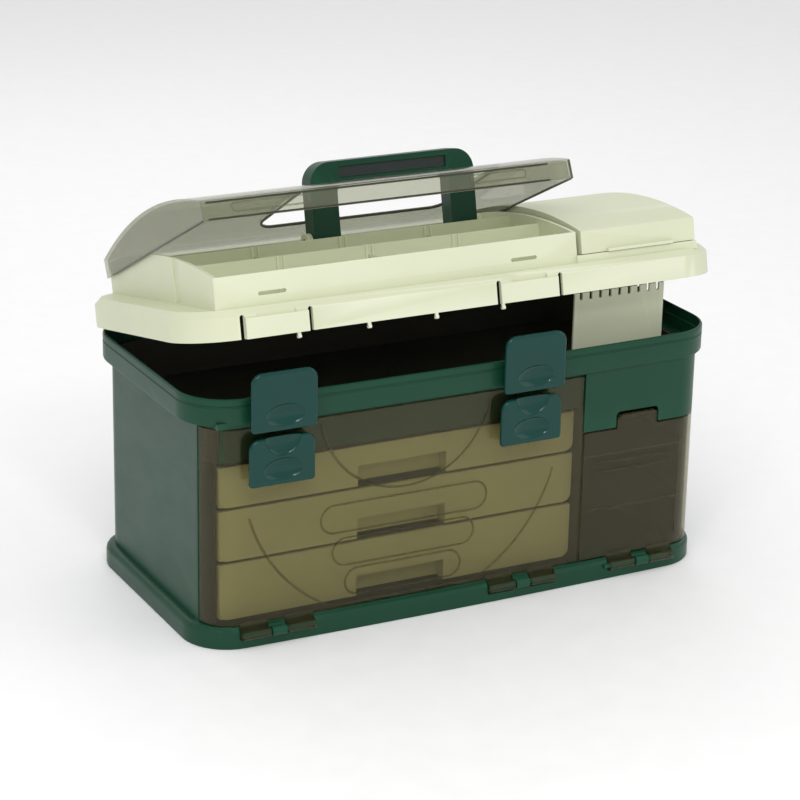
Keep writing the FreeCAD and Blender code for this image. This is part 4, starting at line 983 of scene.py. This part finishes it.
FLOOR_HALF = 6.0                                        # metres
LIGHT_AIM = (0, 0, 0.15)                                # metres
CAMERA_PLACE = (-944.5, -1784.6, 854.9)
CAMERA_ANGLES = (27.81, 19.57, -1.2)                    # azimuth, elevation below level and roll
CAMERA_LENS = 118.8
SENSOR_WIDTH = 36.0


def build_floor():
    """A plain pale floor with a faint speckle."""
    bm = bmesh.new()
    bmesh.ops.create_grid(bm, x_segments=2, y_segments=2, size=FLOOR_HALF)
    floor = object_from(bm, "floor")
    n = Nodes("pale_floor")
    speck = n.noise(40.0)
    tone = n.ramp(speck, (0.3, (0.97, 0.97, 0.97, 1)), (0.7, (0.985, 0.985, 0.985, 1)))
    surface = n.plastic(Base_Color=tone, Roughness=n.span(speck, 0.6, 0.75))
    floor.data.materials.append(n.finish(surface))


def softbox(name, place, size, power):
    """A rectangular softbox, in metres, turned to the middle of the object."""
    data = bpy.data.lights.new(name, "AREA")
    data.shape = "RECTANGLE"
    data.size, data.size_y = size
    data.energy = power
    obj = bpy.data.objects.new(name, data)
    bpy.context.scene.collection.objects.link(obj)
    obj.location = place
    way = Vector(LIGHT_AIM) - Vector(place)
    obj.rotation_euler = way.to_track_quat("-Z", "Y").to_euler()


def build_light():
    """White surround and four softboxes."""
    look = bpy.context.scene.tackle_box
    world = bpy.data.worlds.new("studio")
    world.use_nodes = True
    surround = world.node_tree.nodes["Background"]
    surround.inputs["Color"].default_value = (1, 1, 1, 1)
    surround.inputs["Strength"].default_value = look.sky_strength
    bpy.context.scene.world = world
    softbox("key_softbox", (-0.9, -1.3, 1.7), (1.0, 1.0), look.key_power)
    softbox("spark_softbox", (-0.35, -1.7, 1.5), (0.22, 0.22), look.spark_power)
    softbox("fill_softbox", (1.5, -1.0, 0.9), (1.2, 1.2), look.fill_power)
    softbox("back_softbox", (0.2, 1.5, 1.4), (1.6, 0.8), look.back_power)


def build_camera():
    """The camera, looking slightly down on the box from its left front."""
    data = bpy.data.cameras.new("view")
    data.lens = CAMERA_LENS
    data.sensor_width = SENSOR_WIDTH
    data.sensor_fit = "HORIZONTAL"
    camera = bpy.data.objects.new("view", data)
    bpy.context.scene.collection.objects.link(camera)
    azimuth, elevation, roll = (math.radians(a) for a in CAMERA_ANGLES)
    ahead = Vector((math.sin(azimuth) * math.cos(elevation),
                    math.cos(azimuth) * math.cos(elevation), -math.sin(elevation)))
    level = Vector((math.cos(azimuth), -math.sin(azimuth), 0))
    plumb = ahead.cross(level)
    right = math.cos(roll) * level + math.sin(roll) * plumb
    down = -math.sin(roll) * level + math.cos(roll) * plumb
    turn = Matrix((right, -down, -ahead)).transposed().to_4x4()
    camera.matrix_world = Matrix.Translation(Vector(CAMERA_PLACE) * MM) @ turn
    bpy.context.scene.camera = camera


def build_stage():
    """Pale floor, soft studio light and the camera."""
    build_floor()
    build_light()
    build_camera()
    bpy.context.scene.view_settings.view_transform = "Standard"


# ------------------------------------------------------------ add-on

class TackleBoxSizes(bpy.types.PropertyGroup):
    """Sizes of the details that the frame leaves open."""
    case_edge: bpy.props.FloatProperty(
        name="Case edge", description="Width of the rounding along the case's edges",
        unit="LENGTH", precision=4, default=0.0007, min=0.0002, max=0.0012)
    drawer_edge: bpy.props.FloatProperty(
        name="Drawer edge", description="Width of the rounding along the drawers' edges",
        unit="LENGTH", precision=4, default=0.0008, min=0.0002, max=0.0009)
    lid_edge: bpy.props.FloatProperty(
        name="Lid edge", description="Width of the rounding along the lid's edges",
        unit="LENGTH", precision=4, default=0.0009, min=0.0002, max=0.0012)
    handle_edge: bpy.props.FloatProperty(
        name="Handle edge", description="Width of the rounding along the handle's edges",
        unit="LENGTH", precision=4, default=0.0022, min=0.0005, max=0.004)
    cover_edge: bpy.props.FloatProperty(
        name="Rolled edge", description="Radius of the dark bead at the ends of the clear cover",
        unit="LENGTH", precision=4, default=0.001, min=0.0004, max=0.0015)
    ring_bead: bpy.props.FloatProperty(
        name="Ring bead", description="Radius of the raised rings on the front cover",
        unit="LENGTH", precision=4, default=0.001, min=0.0004, max=0.0014)
    scoop_depth: bpy.props.FloatProperty(
        name="Scoop depth", description="Depth of the thumb scoops in the latches",
        unit="LENGTH", precision=4, default=0.003, min=0.001, max=0.0036)


class TackleBoxLook(bpy.types.PropertyGroup):
    """Colours and light of the tackle box."""
    case_colour: bpy.props.FloatVectorProperty(
        name="Case green", description="Colour of the case and the handle", subtype="COLOR",
        size=3, min=0, max=1, default=srgb(17, 63, 44)[:3])
    latch_colour: bpy.props.FloatVectorProperty(
        name="Latch green", description="Colour of the four latches", subtype="COLOR",
        size=3, min=0, max=1, default=srgb(4, 58, 52)[:3])
    lid_colour: bpy.props.FloatVectorProperty(
        name="Lid cream", description="Colour of the lid, the side lid and the rack",
        subtype="COLOR", size=3, min=0, max=1, default=srgb(208, 212, 182)[:3])
    drawer_colour: bpy.props.FloatVectorProperty(
        name="Drawer cream", description="Colour of the drawers", subtype="COLOR",
        size=3, min=0, max=1, default=srgb(222, 218, 178)[:3])
    smoke_tint: bpy.props.FloatVectorProperty(
        name="Smoke tint", description="Tint of the front cover and the side door",
        subtype="COLOR", size=3, min=0, max=1, default=(0.80, 0.79, 0.68))
    cover_tint: bpy.props.FloatVectorProperty(
        name="Clear tint", description="Tint of the cover over the tray", subtype="COLOR",
        size=3, min=0, max=1, default=(0.86, 0.87, 0.80))
    key_power: bpy.props.FloatProperty(
        name="Key light", description="Power of the main softbox", unit="POWER", default=12.5,
        min=0.0)
    fill_power: bpy.props.FloatProperty(
        name="Fill light", description="Power of the softbox on the right", unit="POWER",
        default=3.5, min=0.0)
    spark_power: bpy.props.FloatProperty(
        name="Highlight light", description="Power of the small softbox that glints on the gloss",
        unit="POWER", default=5.0, min=0.0)
    back_power: bpy.props.FloatProperty(
        name="Back light", description="Power of the softbox behind", unit="POWER", default=5.0,
        min=0.0)
    sky_strength: bpy.props.FloatProperty(
        name="Surround", description="Brightness of the white surround", default=0.74, min=0.0)


class TACKLE_OT_case(bpy.types.Operator):
    """Build the case moulding"""
    bl_idname = "tackle.case"
    bl_label = "Case"

    def execute(self, context):
        build_case()
        return {"FINISHED"}


class TACKLE_OT_insides(bpy.types.Operator):
    """Dress the tub, partition, runners, shelves and pins"""
    bl_idname = "tackle.insides"
    bl_label = "Insides"

    def execute(self, context):
        build_insides()
        return {"FINISHED"}


class TACKLE_OT_rack(bpy.types.Operator):
    """Build the lure rack"""
    bl_idname = "tackle.rack"
    bl_label = "Lure rack"

    def execute(self, context):
        build_rack()
        return {"FINISHED"}


class TACKLE_OT_drawers(bpy.types.Operator):
    """Build the three drawers"""
    bl_idname = "tackle.drawers"
    bl_label = "Drawers"

    def execute(self, context):
        build_drawers()
        return {"FINISHED"}


class TACKLE_OT_front_cover(bpy.types.Operator):
    """Build the smoke front cover"""
    bl_idname = "tackle.front_cover"
    bl_label = "Front cover"

    def execute(self, context):
        build_front_cover()
        return {"FINISHED"}


class TACKLE_OT_side_door(bpy.types.Operator):
    """Build the smoke side door"""
    bl_idname = "tackle.side_door"
    bl_label = "Side door"

    def execute(self, context):
        build_side_door()
        return {"FINISHED"}


class TACKLE_OT_latches(bpy.types.Operator):
    """Build the four latches"""
    bl_idname = "tackle.latches"
    bl_label = "Latches"

    def execute(self, context):
        build_latches()
        return {"FINISHED"}


class TACKLE_OT_lid(bpy.types.Operator):
    """Build the lid with its tray"""
    bl_idname = "tackle.lid"
    bl_label = "Lid"

    def execute(self, context):
        build_lid()
        return {"FINISHED"}


class TACKLE_OT_side_lid(bpy.types.Operator):
    """Build the domed side lid"""
    bl_idname = "tackle.side_lid"
    bl_label = "Side lid"

    def execute(self, context):
        build_side_lid()
        return {"FINISHED"}


class TACKLE_OT_clear_cover(bpy.types.Operator):
    """Build the clear cover over the tray"""
    bl_idname = "tackle.clear_cover"
    bl_label = "Clear cover"

    def execute(self, context):
        build_clear_cover()
        return {"FINISHED"}


class TACKLE_OT_handle(bpy.types.Operator):
    """Build the carrying handle"""
    bl_idname = "tackle.handle"
    bl_label = "Handle"

    def execute(self, context):
        build_handle()
        return {"FINISHED"}


class TACKLE_OT_stage(bpy.types.Operator):
    """Build the floor, the lights and the camera"""
    bl_idname = "tackle.stage"
    bl_label = "Stage"

    def execute(self, context):
        build_stage()
        return {"FINISHED"}


OPERATORS = [
    TACKLE_OT_case,
    TACKLE_OT_insides,
    TACKLE_OT_rack,
    TACKLE_OT_drawers,
    TACKLE_OT_front_cover,
    TACKLE_OT_side_door,
    TACKLE_OT_latches,
    TACKLE_OT_lid,
    TACKLE_OT_side_lid,
    TACKLE_OT_clear_cover,
    TACKLE_OT_handle,
    TACKLE_OT_stage,
]


class TACKLE_PT_panel(bpy.types.Panel):
    """Lists the pieces of the tackle box."""
    bl_label = "Tackle Box"
    bl_idname = "TACKLE_PT_panel"
    bl_space_type = "VIEW_3D"
    bl_region_type = "UI"
    bl_category = "Tackle Box"

    def draw(self, context):
        for values in (context.scene.tackle_sizes, context.scene.tackle_box):
            for name in values.bl_rna.properties.keys():
                if name not in ("rna_type", "name"):
                    self.layout.prop(values, name)
        for cls in OPERATORS:
            self.layout.operator(cls.bl_idname)


CLASSES = [TackleBoxSizes, TackleBoxLook, *OPERATORS, TACKLE_PT_panel]


def register():
    """Make the settings, the operators and the panel known."""
    for cls in CLASSES:
        bpy.utils.register_class(cls)
    bpy.types.Scene.tackle_sizes = bpy.props.PointerProperty(type=TackleBoxSizes)
    bpy.types.Scene.tackle_box = bpy.props.PointerProperty(type=TackleBoxLook)


def unregister():
    """Take them all away again."""
    del bpy.types.Scene.tackle_box
    del bpy.types.Scene.tackle_sizes
    for cls in reversed(CLASSES):
        bpy.utils.unregister_class(cls)


def main():
    """Build everything."""
    register()
    for cls in OPERATORS:
        getattr(bpy.ops.tackle, cls.bl_idname.split(".")[1])()


if __name__ == "__main__":
    main()
